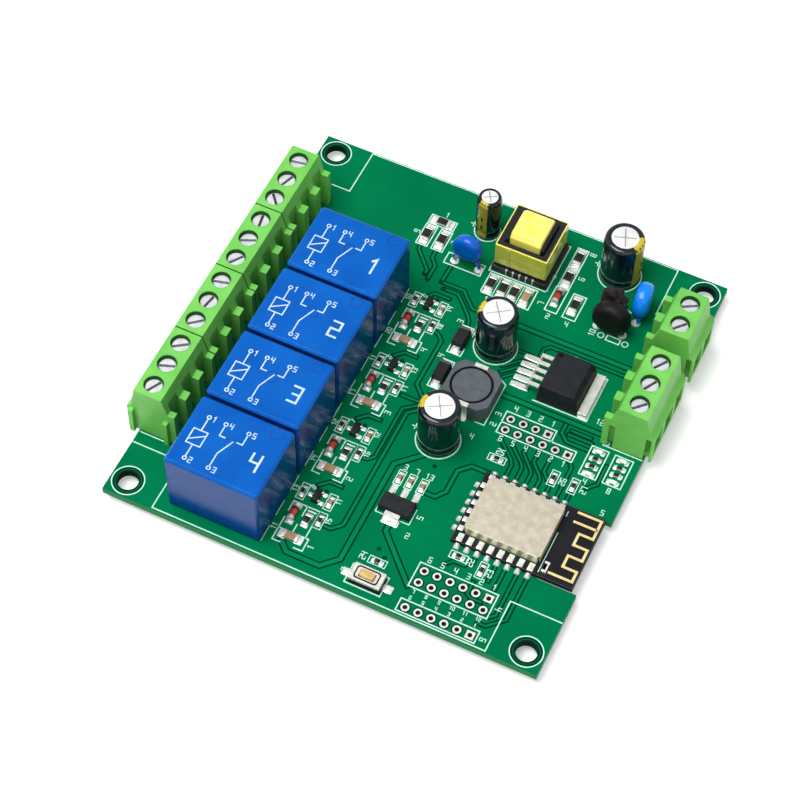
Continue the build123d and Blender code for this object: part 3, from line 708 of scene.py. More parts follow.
def make_relay_finish():
    material = skin_finish(
        "blue_case", (13, 93, 184), (8, 83, 172), rough=(0.16, 0.26), clouds=120, grain=3000, bump=0.03,
        gloss=0.22, specular_tint=(0.3, 0.75, 1, 1),
    )
    nodes, link = material.node_tree.nodes, material.node_tree.links.new
    place = add_node(nodes, "TexCoord")
    inner = add_node(nodes, "TexNoise", Scale=420, Detail=3, Distortion=1.5)
    streaks = add_node(nodes, "MapRange", From_Min=0.62, From_Max=0.85)
    # the walls' colour: a dark blue painted as shade, clouded with paler streaks for the coil behind
    walls = add_node(nodes, "Mix")
    walls.data_type = "RGBA"
    walls.inputs[6].default_value = colour(6, 54, 126)
    walls.inputs[7].default_value = colour(40, 92, 166)
    link(place.outputs["Object"], inner.inputs["Vector"])
    link(inner.outputs["Fac"], streaks.inputs["Value"])
    link(streaks.outputs["Result"], walls.inputs["Factor"])
    link(walls.outputs[2], tell_sides(material, 0.3, 0.65))
    return material


blue_case = make_relay_finish()
marks, relay_print = bmesh.new(), bmesh.new()


def draw_sign(row, channel):
    """The usual wiring sign of a change-over relay, and the channel's number beside it."""
    def wire(points, lift=0.0, closed=False):
        spots = [(RELAY_X + x, row + y) for x, y in points]
        low, high = RELAY_PRINT
        stroke(relay_print, spots, 0.24, low, high + lift, closed=closed)

    # coil, contacts and five numbered pins
    wire([(-7.4, -2.6), (-4.6, -2.6), (-4.6, 0.6), (-7.4, 0.6)], closed=True)
    wire([(-7.4, -1.9), (-4.6, -0.1)], CROSSING)
    wire([(-6.0, 0.7), (-6.0, 3.2)], CROSSING)
    wire([(-6.0, -2.7), (-6.0, -5.2)], CROSSING)
    wire([(-1.2, -5.2), (-1.2, -2.4), (0.2, 0.9)])
    wire([(-2.6, 3.2), (-2.6, 1.1), (-1.5, 1.1)])
    wire([(2.0, 3.2), (2.0, 1.1), (0.9, 1.1)])
    for k, (x, y) in enumerate(((-6.0, 3.7), (-6.0, -5.7), (-1.2, -5.7), (-2.6, 3.7), (2.0, 3.7)), 1):
        washer(relay_print, seat(RELAY_X + x, row + y), 0.24, 0.46, *RELAY_PRINT, sides=20)
        number(relay_print, RELAY_X + x + 1.1, row + y, k, 1.1, 0, 0.18, *RELAY_PRINT)
    number(relay_print, RELAY_X + 5.6, row - 1.2, channel, 3.4, 0, 0.42, *RELAY_PRINT)


for index, row in enumerate(RELAY_ROWS):
    node = f"relay_case_{index + 1}"
    soften(node, 0.1)
    clothe(node, blue_case)
    # two ejector marks on each top, their rims painted darker as shade
    for x, y in ((0.0, 0.4), (6.6, 5.9)):
        washer(marks, seat(RELAY_X + x, row + y), 1.08, 1.22, 15.35, 15.42, sides=36)
    draw_sign(row, 4 - index)
mark_shade = skin_finish("blue_case_mark_shade", (8, 58, 148), (6, 50, 134), rough=(0.3, 0.4))
relay_ink = skin_finish(
    "pale_ink", (206, 224, 246), (180, 204, 236), rough=(0.4, 0.55), clouds=900, bump=0.1
)
finish_piece(marks, "ejector_marks", [mark_shade])
finish_piece(relay_print, "relay_print", [relay_ink])
clothe("relay_bases", black_nylon)
clothe("relay_pins", tin)

# Electrolytic capacitors
# Deep-drawn aluminium cans with a rubber bung and a shrunk sleeve of dark green film. The
# sleeve curls over the rim, a yellow stripe marks the minus side, and a cross is scored on top.
sleeve_film = skin_finish(
    "green_black_sleeve", (8, 27, 36), (5, 18, 26), rough=(0.12, 0.24), clouds=160, grain=2600, bump=0.12,
    coat_weight=0.5,
)
STRIPE_GLOSS = dict(rough=(0.18, 0.3), clouds=260, grain=2600, bump=0.1)
stripe_film = skin_finish("yellow_stripe", (206, 186, 62), (186, 164, 50), **STRIPE_GLOSS)
# the same stripe film, darker on the can's upright side: painted shade
stripe_shade = skin_finish("yellow_stripe_shade", (158, 148, 48), (138, 128, 38), **STRIPE_GLOSS)
bare_can = skin_finish(
    "drawn_aluminium", (242, 242, 242), (230, 230, 229), rough=(0.34, 0.5), clouds=700, grain=6000,
    bump=0.12, metallic=0.3,
)
# the scored cross is the can's own aluminium; its grey is painted shade in the grooves
vent_shade = skin_finish(
    "scored_vent_shade", (168, 168, 166), (150, 150, 148), rough=(0.4, 0.55), clouds=700, metallic=0.5
)
bung = skin_finish("rubber_bung", (30, 30, 30), (22, 22, 22), rough=(0.6, 0.8))
SIDES = 72
SLEEVE, STRIPE, METAL, RUBBER, SCORED, STRIPE_SHADE = range(6)


def electrolytic(name, node, spot, radius, height, disc, stripe_at, stripe_half, vent_turn):
    """A sleeved can; disc is the radius of bare metal that the sleeve's rim leaves open."""
    can = bmesh.new()
    lip = radius - disc
    profile = [
        (radius - 0.55, 0.5), (radius - 0.15, 0.42), (radius - 0.02, 0.8), (radius - 0.02, 1.5),
        (radius - 0.3, 1.95), (radius - 0.02, 2.4), (radius, 3.2), (radius, 4.4), (radius, 5.6),
        (radius, 6.8), (radius, 8.0), (radius, height - 1.0), (radius - 0.12, height - 0.5),
        (radius - 0.12 - 0.22 * lip, height - 0.12), (radius - 0.12 - 0.5 * lip, height),
        (disc + 0.05, height - 0.03), (disc, height - 0.14),
    ]
    faces = turned(can, seat(*spot), profile, sides=SIDES, capped=False)
    for i, face in enumerate(faces):
        level, step = divmod(i, SIDES)
        off = (step * 360 / SIDES - stripe_at + 180) % 360 - 180
        dash = (level in (6, 8) and abs(off) < 7) or (level == 12 and step % 3 == 0)
        # the stripe's faces; those on the upright side take the painted shade
        if abs(off) < stripe_half and not dash:
            face.material_index = STRIPE if level > 10 else STRIPE_SHADE
    lid = [(disc + 0.02, height - 0.3), (disc + 0.02, height - 0.12), (disc - 0.2, height - 0.1)]
    turned(can, seat(*spot), lid, METAL, SIDES)
    turned(can, seat(*spot), [(radius - 0.5, 0.0), (radius - 0.5, 0.6)], RUBBER, 36)
    for k in (0, 90):
        place = seat(*spot, turn=vent_turn + k)
        ends = [place @ Vector((side * disc * 0.78, 0, 0)) for side in (-1, 1)]
        top = height - 0.085 + 0.0005 * k
        stroke(can, [(end.x, end.y) for end in ends], 0.2, height - 0.12, top, SCORED)
    finishes = [sleeve_film, stripe_film, bare_can, bung, vent_shade, stripe_shade]
    finish_piece(can, name, finishes, replaces=[node])


# radius, height, radius of the bare disc, direction and half width of the stripe, turn of the vent
for spot, (name, node, *sizes) in zip(CAN_SPOTS, (
    ("input_can", "input_capacitor", 2.5, 11.0, 1.6, 262, 24, 30),
    ("bulk_can", "bulk_capacitor", 4.0, 12.0, 2.65, -2, 32, 20),
    ("middle_can", "middle_capacitor", 4.0, 11.6, 2.9, 184, 22, 35),
    ("output_can", "output_capacitor", 4.0, 11.6, 2.8, 188, 27, 30),
)):
    electrolytic(name, node, spot, *sizes)

# Transformer
# Two ferrite halves round a black bobbin, held by a band of yellow film with its rim folded in.
# The winding is wrapped in the same film, and the bobbin's foot holds the pins. A brighter copy
# of the film on the winding and on the band's folded rim is painted light.
ferrite = skin_finish(
    "ferrite", (30, 31, 34), (22, 23, 25), rough=(0.5, 0.7), clouds=900, grain=7000, bump=0.3
)
yellow_film = skin_finish(
    "yellow_film", (196, 196, 70), (176, 180, 56), rough=(0.14, 0.26), clouds=220, grain=2400, bump=0.15,
    coat_weight=0.4,
)
lit_film = skin_finish(
    "yellow_film_painted_light", (250, 238, 122), (240, 226, 100), rough=(0.16, 0.28), clouds=260, grain=2400,
    bump=0.15, coat_weight=0.4,
)
for node, finish, radius in (
    ("core", ferrite, 0.15), ("bobbin", black_nylon, 0.12), ("winding", lit_film, 0.5)
):
    clothe(f"transformer_{node}", finish)
    soften(f"transformer_{node}", radius)


def rounded(size_x, size_y, corner=0.0, steps=3):
    """A rectangle's outline about the origin, with rounded corners."""
    points = []
    for quarter, (sx, sy) in enumerate(((1, 1), (-1, 1), (-1, -1), (1, -1))):
        for k in range(steps + 1):
            angle = math.radians(90 * quarter + 90 * k / steps)
            x = sx * (size_x / 2 - corner) + corner * math.cos(angle)
            points.append((x, sy * (size_y / 2 - corner) + corner * math.sin(angle)))
    return points


def block(shape, place, size_x, size_y, low, high, edge=0.08, corner=0.1, finish=0, draft=0.0):
    """A moulded block with rounded corners, a chamfered top and sides that lean in by draft."""
    def layer(inset, height):
        shrink = 2 * (draft + inset)
        return rounded(size_x - shrink, size_y - shrink, max(corner - inset, 0.01)), height

    layers = [(rounded(size_x, size_y, corner), low), layer(0.0, high - edge)]
    stack(shape, place, layers + [layer(0.3 * edge, high - 0.3 * edge), layer(edge, high)], finish)


def straight_bar(shape, x0, x1, y0, y1, z0, z1, finish=0):
    """A plain bar along X, for strips that are cut square."""
    skin(shape, [[(x0, y, z0), (x1, y, z0), (x1, y, z1), (x0, y, z1)] for y in (y0, y1)], finish)


band = bmesh.new()
outer, inner = rounded(10.94, 10.94, 0.35, 4), rounded(10.7, 10.7, 0.25, 4)
fold, rim = rounded(10.84, 10.84, 0.3, 4), rounded(10.42, 10.42, 0.2, 4)
levels = [
    (inner, 2.55), (outer, 2.55), (outer, 7.95), (fold, 8.1), (rim, 8.12), (rim, 8.02), (inner, 8.0),
    (inner, 2.55),
]
faces = stack(band, seat(49.35, 82.6), levels, capped=False)
# the band's folded rim takes the brighter copy, a painted highlight
for face in faces[2 * len(rim):4 * len(rim)]:
    face.material_index = 1
straight_bar(band, 44.1, 47.2, 77.06, 77.14, 2.6, 7.98)
finish_piece(band, "tape_band", [yellow_film, lit_film], replaces=["transformer_tape"])
foot = bmesh.new()
block(foot, seat(49.4, 82.55), 11.7, 11.7, 0.3, 1.5, 0.15, 0.3)
for k in range(-2, 3):
    turned(foot, seat(49.55 + 1.4 * k, 76.95), [(0.26, 0.3), (0.26, 1.56), (0.16, 1.66)], 1, 20)
finish_piece(foot, "bobbin_foot", [black_nylon, tin])
seam = bmesh.new()
skin(seam, [
    [(46.4, 79.16, 9.05), (52.4, 79.16, 9.05), (52.4, 79.3, 9.2), (46.4, 79.3, 9.2)],
    [(46.4, 79.02, 9.0), (52.4, 79.02, 9.0), (52.4, 79.14, 9.22), (46.4, 79.14, 9.22)],
])
seam_finish = skin_finish("film_seam", (120, 96, 30), (100, 80, 24), rough=(0.3, 0.5))
finish_piece(seam, "winding_seam", [seam_finish])

# Dipped discs
# A ceramic disc is dipped in epoxy with its two leads: thick in the middle, thin at the rim,
# and run a little way down each lead. A crumpled film sleeve stands behind the black one.
EPOXY_GLOSS = dict(rough=(0.16, 0.28), clouds=220, grain=1500, bump=0.15, coat_weight=0.12)
blue_epoxy = skin_finish("blue_epoxy", (4, 98, 206), (3, 84, 186), **EPOXY_GLOSS)
vivid_epoxy = skin_finish("vivid_epoxy", (8, 134, 244), (6, 118, 230), **EPOXY_GLOSS)
black_epoxy = skin_finish(
    "black_epoxy", (22, 21, 23), (15, 14, 16), rough=(0.4, 0.6), clouds=260, grain=1500, bump=0.3, gloss=0.2
)
DISC_SPOTS = ((38.9, 75.6), (74.0, 80.0), (70.1, 73.6))


def dipped_disc(name, node, spot, z, turn, radius, thick, finish, lumps=0.015):
    disc = bmesh.new()
    half = thick / 2
    profile = [(0.02, half), (0.5, half), (0.75, 0.96 * half), (0.9, 0.78 * half), (0.975, 0.45 * half)]
    profile += [(1.0, 0.0)] + [(share, -depth) for share, depth in profile[::-1]]
    upright = seat(*spot, z, turn, 90)
    rings = []
    for level, (share, depth) in enumerate(profile):
        points = []
        for i in range(56):
            angle = i * 2 * math.pi / 56
            wave = math.sin(3 * angle + 1) + 0.7 * math.sin(5 * angle) + 0.5 * math.sin(11 * angle + level)
            reach = share * radius * (1 - lumps * (1 + wave) * share)
            points.append(upright @ Vector((reach * math.cos(angle), reach * math.sin(angle), depth)))
        rings.append(points)
    skin(disc, rings)
    runs_down = [
        (1.75, z - 0.72 * radius, 1.0), (2.05, z - 0.95 * radius, 0.72),
        (2.4, 0.5 * (z - radius) + 0.6, 0.5), (2.6, 0.55, 0.36),
    ]
    for side in (-1, 1):
        rings = []
        for reach, height, size in runs_down:
            at = seat(*spot, turn=turn) @ Vector((side * reach, 0, 0))
            rings.append([(at.x + px * size, at.y + py * size, height) for px, py in circle(1.0, 20)])
        skin(disc, rings)
    finish_piece(disc, name, [finish], replaces=[node], crease=60)


small_spot, blue_spot, black_spot = DISC_SPOTS
dipped_disc("dipped_capacitor", "disc_capacitor", small_spot, 5.7, 0, 3.1, 2.6, blue_epoxy)
dipped_disc("dipped_varistor", "varistor", blue_spot, 4.6, 98, 3.5, 3.2, vivid_epoxy)
dipped_disc(
    "dipped_thermistor", "thermistor", black_spot, 4.3, 0, 3.9, 3.4, black_epoxy, lumps=0.012
)
folds = bmesh.new()
rings = []
for level in range(13):
    tuck = 1 - 0.65 * max(0, level - 9) / 3
    points = []
    for i in range(36):
        angle = i * math.pi / 18
        crease = 1 + 0.13 * math.sin(4 * angle + 2.2 * level) + 0.09 * math.sin(7 * angle - 3.1 * level)
        x = 69.3 + 0.25 * math.sin(1.7 * level) + 2.5 * crease * tuck * math.cos(angle)
        y = 76.1 + 0.12 * level + 1.2 * crease * tuck * math.sin(angle)
        points.append((x, y, 0.9 + 0.62 * level))
    rings.append(points)
skin(folds, rings)
crumpled = skin_finish(
    "crumpled_film", (46, 38, 42), (22, 18, 20), rough=(0.25, 0.5), clouds=900, grain=4000, bump=0.3
)
finish_piece(folds, "crumpled_sleeve", [crumpled], crease=40)
clothe("lead_wires", tin)

# Power inductor
# A ferrite drum glued in a square shield, with a ring of black resin between them. Two
# tinned clips wrap the shield's edge and are soldered to the board.
grey_ferrite = skin_finish(
    "grey_ferrite", (88, 94, 100), (76, 82, 88), rough=(0.5, 0.68), clouds=700, grain=6500, bump=0.35
)
resin = skin_finish("black_resin", (9, 9, 10), (6, 6, 7), rough=(0.4, 0.6), clouds=500, gloss=0.1)
clothe("power_inductor", grey_ferrite)
soften("power_inductor", 0.12)
INDUCTOR = (52.4, 48.0)
inductor = bmesh.new()
washer(inductor, seat(*INDUCTOR), 3.72, 4.17, 3.6, 4.03, 0, 56)
# a clip's wall, its fold over the top and its foot: outward reach and height
clip = ((0.0, 0.16, 0.02, 4.12), (-0.75, 0.0, 4.04, 4.16), (0.0, 0.9, 0.0, 0.16))
for side in (-1, 1):
    edge = INDUCTOR[1] + side * 4.85
    for out_from, out_to, low, high in clip:
        straight_bar(inductor, 51.1, 53.7, edge + side * out_from, edge + side * out_to, low, high, 1)
finish_piece(inductor, "inductor_fittings", [resin, tin])

# Regulators and power diodes
# Transfer-moulded epoxy bodies with formed leads of tinned copper, and tabs that carry the
# heat into the board. A moulded dot marks the first pin, and a bar the diodes' cathode.
moulded = skin_finish(
    "moulded_epoxy", (30, 33, 39), (23, 25, 30), rough=(0.42, 0.6), clouds=500, grain=8000, bump=0.25,
    gloss=0.2,
)
pale_mark = skin_finish("laser_mark", (92, 92, 94), (80, 80, 82), rough=(0.6, 0.8))
for node, radius in (("switching_regulator", 0.15), ("linear_regulator", 0.1), ("power_diodes", 0.1)):
    clothe(node, moulded)
    soften(node, radius)
clothe("regulator_metalwork", tin)
soften("regulator_metalwork", 0.06)
body_marks = bmesh.new()
washer(body_marks, seat(64.9, 61.2), 0.02, 0.5, 4.49, 4.51, 0, 28)
for x, y in POWER_DIODES:
    straight_bar(body_marks, x - 1.06, x + 1.06, y + 1.35, y + 1.7, 2.19, 2.215, 1)
finish_piece(body_marks, "body_marks", [resin, pale_mark])
solder = bmesh.new()


def mound(x, y, size_x, size_y, height):
    """Solder that has wetted a pad and drawn up in the middle."""
    foot = rounded(size_x, size_y, 0.15, 2)
    waist, top = rounded(0.8 * size_x, 0.8 * size_y, 0.12, 2), rounded(0.4 * size_x, 0.4 * size_y, 0.05, 2)
    stack(solder, seat(x, y), [(foot, 0.0), (foot, 0.04), (waist, 0.5 * height), (top, height)])


for k in range(-2, 3):
    mound(59.6, 57.65 + 1.7 * k, 3.6, 1.15, 0.2)
mound(73.2, 57.65, 1.9, 10.4, 0.12)
for k in (-1, 0, 1):
    mound(50.4 + 2.3 * k, 23.4, 1.2, 1.9, 0.2)
mound(50.5, 16.7, 3.3, 1.4, 0.2)
for x, y in POWER_DIODES:
    for side in (-1, 1):
        mound(x, y + side * 2.75, 1.9, 1.2, 0.35)

# Small surface parts
# Chips are white ceramic bars with a dark glaze or a tan body between tinned ends, and lamps
# have clear resin. Glass diodes have a coloured core, and transistors three formed leads.
ceramic = skin_finish(
    "white_ceramic", (214, 212, 204), (198, 196, 188), rough=(0.5, 0.7), clouds=900, bump=0.1
)
glaze = skin_finish("dark_glaze", (34, 33, 34), (24, 23, 24), rough=(0.25, 0.4), clouds=900, bump=0.1)
tan_body = skin_finish(
    "tan_ceramic", (168, 142, 108), (150, 124, 92), rough=(0.4, 0.6), clouds=1200, bump=0.15
)
lamp_resin = skin_finish("clear_lamp", (240, 242, 236), (226, 230, 222), rough=(0.1, 0.25), clouds=900)
red_glass = skin_finish(
    "red_glass", (196, 58, 46), (168, 40, 34), rough=(0.06, 0.14), clouds=900, coat_weight=0.8
)
# length, width and height of the three sizes of chip
LARGE, MIDDLE, SMALL = (3.2, 1.6, 0.6), (2.0, 1.25, 0.55), (1.6, 0.8, 0.45)
# a chip's finishes in the order of its materials; a tan body takes the first place too
GLAZE, CERAMIC, CAP, LAMP = range(4)
TAN = 0
resistors, condensers = bmesh.new(), bmesh.new()


def chip(shape, x, y, size, along_x=False, body=None):
    """A chip with its solder; body is the finish of a plain body, and without one it is glazed."""
    length, width, height = size
    place = seat(x, y, turn=0 if along_x else 90)
    cap = 0.18 * length
    top = height + 0.04
    if body is None:
        block(shape, place, length - 0.1, width - 0.06, 0.06, top - 0.06, 0.04, 0.03, CERAMIC)
        block(shape, place, length - 1.6 * cap, width - 0.1, top - 0.07, top, 0.03, 0.03, GLAZE)
    else:
        block(shape, place, length - 0.1, width - 0.06, 0.06, top, 0.08, 0.05, body)
    for side in (-1, 1):
        end = place @ Matrix.Translation((side * (length / 2 - cap / 2), 0, 0))
        block(shape, end, cap, width, 0.03, top + 0.02, 0.05, 0.05, CAP)
        joint = place @ Vector((side * (0.6 * length - cap / 2), 0, 0))
        wetted = (0.5 * length, width + 0.2)
        mound(joint.x, joint.y, *(wetted if along_x else wetted[::-1]), 0.16)


for x, y in (
    (28.7, 79.0), (32.0, 79.0), (45.1, 73.5), (47.7, 73.5), (50.0, 73.5), (58.1, 86.7), (58.1, 81.5),
    (61.8, 75.9),
):
    chip(resistors, x, y, LARGE)
chip(resistors, 30.3, 83.0, LARGE, True)
for k in range(4):
    chip(resistors, 79.0, 41.9 + 1.75 * k, SMALL, True, LAMP if k in (0, 3) else None)
    chip(resistors, 83.8, 42.2 + 1.65 * k, SMALL, True, LAMP if k in (0, 3) else None)
for x, y in SMALL_ALONG_Y:
    chip(resistors, x, y, SMALL)
for x, y in SMALL_ALONG_X:
    chip(resistors, x, y, SMALL, True)
chip(condensers, 52.5, 73.5, LARGE, False, TAN)
for x in REGULATOR_CHIPS:
    chip(condensers, x, 26.0, SMALL, False, TAN)
for row in CHANNELS:
    chip(resistors, 36.8, row + 4.3, MIDDLE)
    chip(resistors, 33.4, row + 9.6, SMALL)
    chip(resistors, 39.0, row + 5.3, SMALL)
    chip(condensers, 35.7, row, LARGE, True, TAN)
    chip(condensers, 39.0, row + 9.6, SMALL, False, TAN)
finish_piece(
    resistors, "glazed_resistors", [glaze, ceramic, tin, lamp_resin],
    replaces=["chip_resistors"],
)
finish_piece(
    condensers, "tan_capacitors", [tan_body, tan_body, tin], replaces=["chip_capacitors"]
)
glass, transistors = bmesh.new(), bmesh.new()
for x, y in [(34.0, row + 4.6) for row in CHANNELS] + [(58.0, 76.2)]:
    lying = seat(x, y, 0.75, 0, -90)
    bulb = [(0.3, -1.05), (0.62, -1.0), (0.66, -0.8), (0.66, 0.7), (0.62, 0.95), (0.3, 1.05)]
    turned(glass, lying, bulb, 0, 28)
    turned(glass, lying, [(0.67, 0.36), (0.675, 0.4), (0.675, 0.7), (0.67, 0.74)], 1, 28, capped=False)
    for side in (-1, 1):
        ends = [(0.52, side * 1.02), (0.7, side * 1.06), (0.7, side * 1.7), (0.6, side * 1.75)]
        turned(glass, lying, ends, 2, 28)
        mound(x, y + side * 1.75, 1.5, 1.1, 0.35)
finish_piece(glass, "glass_diode_bodies", [red_glass, glaze, tin], replaces=["glass_diodes"])


def formed_lead(shape, place, root, reach, width, thick, finish):
    """A flat lead that leaves a body at root height and bends down to the board."""
    path = [
        (0.0, root), (0.3 * reach, root), (0.45 * reach, root - 0.04), (0.55 * reach, 0.16),
        (0.65 * reach, 0.08), (reach, 0.07),
    ]
    half = width / 2
    rings = []
    for along, height in path:
        corners = [(-half, height), (half, height), (half, height + thick), (-half, height + thick)]
        rings.append([place @ Vector((along, side, z)) for side, z in corners])
    skin(shape, rings, finish)


for row in CHANNELS:
    x, y = 36.2, row + 9.6
    block(transistors, seat(x, y), 1.3, 2.9, 0.1, 1.1, 0.12, 0.08, 0, draft=0.07)
    for dx, dy in ((1, 0.95), (1, -0.95), (-1, 0.0)):
        root = seat(x + 0.55 * dx, y + dy, turn=0 if dx > 0 else 180)
        formed_lead(transistors, root, 0.5, 0.75, 0.42, 0.12, 1)
        mound(x + dx * 1.25, y + dy, 1.0, 0.8, 0.12)
finish_piece(transistors, "transistor_bodies", [moulded, tin], replaces=["transistors"])
clothe("small_leads", tin)

# Wireless module
# A small black board soldered on by the half holes along three sides. A drawn can of
# nickel silver covers its chips, and its aerial is gold-plated copper on the free end.
module_mask = skin_finish(
    "black_mask", (22, 22, 30), (16, 16, 22), rough=(0.3, 0.42), clouds=200, grain=3000, gloss=0.2
)
nickel_silver = skin_finish(
    "nickel_silver", (210, 203, 184), (192, 183, 162), rough=(0.32, 0.46), clouds=650, grain=3600,
    bump=0.25, metallic=0.6,
)
gold = skin_finish(
    "gold_plate", (250, 232, 170), (238, 216, 142), rough=(0.25, 0.4), clouds=900, bump=0.1, metallic=0.5
)
edge_line = skin_finish("module_edge", (74, 74, 70), (60, 60, 58), rough=(0.5, 0.6), clouds=900)
clothe("module_board", module_mask)
clothe("module_shield", nickel_silver)
soften("module_shield", 0.25)
clothe("module_chips", moulded)
TOP = 0.9
PAD_STEP = 2
GOLD, TINNED, PRINTED, CLEAR, EDGE = range(5)
module = bmesh.new()


def on_module(points, width, thick, finish, closed=False):
    """A line on the module's face."""
    stroke(module, points, width, TOP, TOP + thick, finish, closed)


on_module([
    (80.9, 33.1), (85.35, 33.1), (85.35, 29.0), (82.6, 29.0), (82.6, 26.45), (85.35, 26.45), (85.35, 24.0),
    (82.6, 24.0), (82.6, 21.5), (85.35, 21.5), (85.35, 19.3), (80.9, 19.3),
], 0.5, 0.035, GOLD)
on_module([(80.9, 31.0), (85.1, 31.0)], 0.5, 0.035, GOLD)
# each half hole's place, and the way from it to the module's middle
half_holes = [(63.55 + PAD_STEP * k, y, 0, way) for k in range(8) for y, way in ((17.8, 1), (33.8, -1))]
half_holes += [(62.05, 25.8 + PAD_STEP * (k - 2.5), 1, 0) for k in range(6)]
for x, y, way_x, way_y in half_holes:
    pad = (1.1 - 0.1 * abs(way_x), 1.1 - 0.1 * abs(way_y))
    block(module, seat(x + 0.8 * way_x, y + 0.8 * way_y), *pad, TOP, TOP + 0.04, 0.01, 0.05, TINNED)
    mound(x - 0.35 * way_x, y - 0.35 * way_y, 1.1 + 0.2 * abs(way_x), 1.1 + 0.2 * abs(way_y), 0.75)
for k in range(8):
    x = 63.55 + PAD_STEP * k
    block(module, seat(x, 19.25), 1.05, 1.1, TOP, TOP + 0.03, 0.01, 0.05, PRINTED)
    number(module, x, 19.25, k + 1, 0.8, 0, 0.12, TOP + 0.03, TOP + 0.045)
on_module([(79.05, 18.6), (79.05, 27.5)], 0.18, 0.03, PRINTED)
on_module([(79.05, 31.4), (79.05, 32.4)], 0.18, 0.03, PRINTED)
# the small lamp and its two ends
block(module, seat(79.95, 19.9), 0.85, 1.7, TOP, TOP + 0.5, 0.08, 0.08, CLEAR)
for y in (19.0, 20.8):
    block(module, seat(79.95, y), 1.0, 0.45, TOP, TOP + 0.52, 0.05, 0.05, TINNED)
on_module([(62.2, 17.95), (85.9, 17.95), (85.9, 33.65), (62.2, 33.65)], 0.08, 0.015, EDGE, True)
finish_piece(module, "module_copper", [gold, tin, white_ink, lamp_resin, edge_line])

# Reset switch
# A stamped steel frame over a moulded base that shows as a dark skirt, with a tan plunger on
# a dome spring in a dark ring. Its two flat contacts are soldered at the ends.
frame_steel = skin_finish(
    "white_metal_frame", (222, 220, 214), (200, 198, 192), rough=(0.3, 0.45), clouds=700, bump=0.15,
    metallic=0.4,
)
tan_plunger = skin_finish(
    "tan_plunger", (214, 182, 112), (198, 164, 96), rough=(0.35, 0.5), clouds=700, bump=0.15
)
SWITCH = (52.1, 4.0)
clothe("reset_switch_body", frame_steel)
soften("reset_switch_body", 0.1)
plunger = bmesh.new()
block(plunger, seat(*SWITCH), 2.88, 1.48, 1.1, 2.4, 0.2, 0.35)
finish_piece(
    plunger, "plunger_cap", [tan_plunger], "reset_plunger", replaces=["reset_plunger"]
)
switch_trim = bmesh.new()
for outer, inner, low, out_top, in_top in (
    (rounded(4.7, 2.7, 0.6, 6), rounded(4.2, 2.2, 0.45, 6), 1.9, 2.03, 2.03),
    (rounded(6.26, 3.46, 0.12), rounded(6.18, 3.38, 0.08), 0.1, 1.2, 1.25),
):
    layers = [(inner, low), (outer, low), (outer, out_top), (inner, in_top), (inner, low)]
    stack(switch_trim, seat(*SWITCH), layers, capped=False)
finish_piece(switch_trim, "switch_trim", [resin])
for side in (-1, 1):
    mound(SWITCH[0] + side * 4.0, SWITCH[1], 2.0, 1.6, 0.3)

# Solder joints
# Leads and pins come through plated holes and are wave soldered from below, where each
# joint draws up the tail in a cone. On top only the pad's thin ring shows.
OUTPUT_LEGS, SUPPLY_LEGS = 5.35, 80.85
joints = [(OUTPUT_LEGS if x < 40 else SUPPLY_LEGS, y) for x, y in screw_spots]
pins = ((7.1, 0), (5.1, 6.0), (5.1, -6.0), (-7.1, 6.0), (-7.1, -6.0))
joints += [(RELAY_X + dx, row + dy) for row in RELAY_ROWS for dx, dy in pins]
for (x, y), radius in zip(CAN_SPOTS, (2.5, 4.0, 4.0, 4.0)):
    joints += [(x - 0.45 * radius, y), (x + 0.45 * radius, y)]
for spot, turn in zip(DISC_SPOTS, (0, 90, 0)):
    for side in (-1, 1):
        at = seat(*spot, turn=turn) @ Vector((side * 2.6, 0, 0))
        joints.append((at.x, at.y))
fine_joints = [(49.55 + 1.4 * k, 82.6 + side * 4.6) for side in (-1, 1) for k in range(-2, 3)]
for spots, size in ((joints, 1.0), (fine_joints, 0.62)):
    # radius and height of the cone that the solder draws up on the tail
    cone = [(0.95 * size, UNDERSIDE), (0.92 * size, -1.66), (0.7 * size, -1.85), (0.5 * size, -2.2)]
    cone += [(0.42 * size, -2.7), (0.36 * size, -3.0)]
    for spot in spots:
        turned(solder, seat(*spot), cone, sides=24)
        washer(solder, seat(*spot), 0.3, 0.9 * size, 0.0, 0.085, sides=24)
solder_finish = skin_finish(
    "bright_solder", (244, 246, 246), (224, 226, 228), rough=(0.16, 0.32), clouds=1100, grain=5000,
    bump=0.25, metallic=0.3,
)
finish_piece(solder, "solder_joints", [solder_finish])

# Floor, light and camera
# The board's soldered tails stand on white paper. A wide soft box hangs above its front left
# corner and a weak one fills from the front right, and the camera looks as the photograph's did.
TAILS = -3.4
PAPER_GLOW = 0.3
SKY_LIGHT = 0.39
SKY_OVERHEAD = 0.55


def make_paper_finish():
    """White paper that keeps the shadow and shows as white to the camera and in reflections."""
    material, nodes, link, shader = new_material("white_paper")
    shader.inputs["Base Color"].default_value = (0.9, 0.9, 0.9, 1)
    shader.inputs["Roughness"].default_value = 0.9
    shader.inputs["Specular IOR Level"].default_value = 0.0
    path, glow, both = (add_node(nodes, kind) for kind in ("LightPath", "Emission", "AddShader"))
    seen, strength = add_node(nodes, "Math"), add_node(nodes, "Math")
    seen.operation, strength.operation = "MAXIMUM", "MULTIPLY"
    strength.inputs[1].default_value = PAPER_GLOW
    link(path.outputs["Is Camera Ray"], seen.inputs[0])
    link(path.outputs["Is Glossy Ray"], seen.inputs[1])
    link(seen.outputs["Value"], strength.inputs[0])
    link(strength.outputs["Value"], glow.inputs["Strength"])
    link(shader.outputs["BSDF"], both.inputs[0])
    link(glow.outputs["Emission"], both.inputs[1])
    link(both.outputs["Shader"], nodes["Material Output"].inputs["Surface"])
    return material


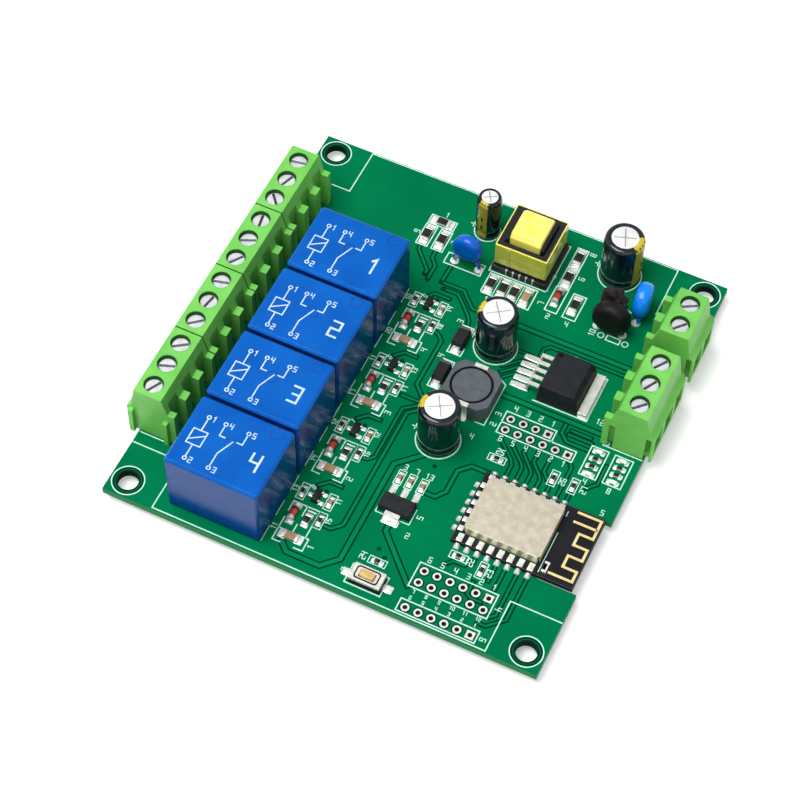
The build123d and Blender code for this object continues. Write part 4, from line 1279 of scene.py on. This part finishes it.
paper_shape = bmesh.new()
corners = ((-1500, -1500), (1600, -1500), (1600, 1600), (-1500, 1600))
paper_shape.faces.new([paper_shape.verts.new(on_board(x, y, TAILS)) for x, y in corners])
paper_mesh = bpy.data.meshes.new("white_paper")
paper_shape.to_mesh(paper_mesh)
paper_shape.free()
paper_mesh.materials.append(make_paper_finish())
paper = bpy.data.objects.new("white_paper", paper_mesh)
bpy.context.collection.objects.link(paper)

# the sky is white to the camera, dimmer overhead in reflections, and weak as a light
world = bpy.data.worlds.new("studio")
bpy.context.scene.world = world
world.use_nodes = True
nodes, link = world.node_tree.nodes, world.node_tree.links.new
sky = nodes["Background"]
sky.inputs["Color"].default_value = (1, 1, 1, 1)
path, place, parts = (add_node(nodes, kind) for kind in ("LightPath", "TexCoord", "SeparateXYZ"))
rise = add_node(nodes, "MapRange", From_Min=0.1, From_Max=0.6, To_Min=1.0, To_Max=SKY_OVERHEAD)
share = add_node(nodes, "MapRange", To_Min=SKY_LIGHT)
mix = add_node(nodes, "Mix")
mix.data_type = "FLOAT"
link(place.outputs["Generated"], parts.inputs["Vector"])
link(parts.outputs["Z"], rise.inputs["Value"])
link(path.outputs["Is Camera Ray"], share.inputs["Value"])
link(path.outputs["Is Glossy Ray"], mix.inputs["Factor"])
link(share.outputs["Result"], mix.inputs["A"])
link(rise.outputs["Result"], mix.inputs["B"])
link(mix.outputs["Result"], sky.inputs["Strength"])


def soft_box(name, place, size, watts):
    """A rectangular lamp that is aimed at the board's middle."""
    lamp = bpy.data.lights.new(name, "AREA")
    lamp.shape, lamp.size, lamp.size_y, lamp.energy = "RECTANGLE", *size, watts
    holder = bpy.data.objects.new(name, lamp)
    holder.location = Vector(place)
    holder.rotation_euler = (-Vector(place)).to_track_quat("-Z", "Y").to_euler()
    bpy.context.collection.objects.link(holder)


soft_box("overhead_box", (-0.17, -0.14, 0.66), (0.5, 0.42), 5.2)
soft_box("front_fill", (0.45, -0.55, 0.5), (0.6, 0.5), 0.8)

IMAGE_PIXELS = 800
FOCAL_PIXELS = 2283.57
camera = bpy.data.cameras.new("photograph_view")
camera.sensor_width = 36
camera.lens = FOCAL_PIXELS / IMAGE_PIXELS * camera.sensor_width
camera.clip_start, camera.clip_end = 0.01, 10
viewer = bpy.data.objects.new("photograph_view", camera)
bpy.context.collection.objects.link(viewer)
right, up = Vector((0.902331, 0.430762, 0.015614)), Vector((-0.368488, 0.752076, 0.546442))
back = Vector((0.223644, -0.498825, 0.837351))
looking = Matrix((right, up, back)).transposed().to_4x4()
viewer.matrix_world = Matrix.Translation(on_board(136.93, -173.12, 360.14)) @ looking
bpy.context.scene.camera = viewer
bpy.context.scene.view_settings.view_transform = "Standard"
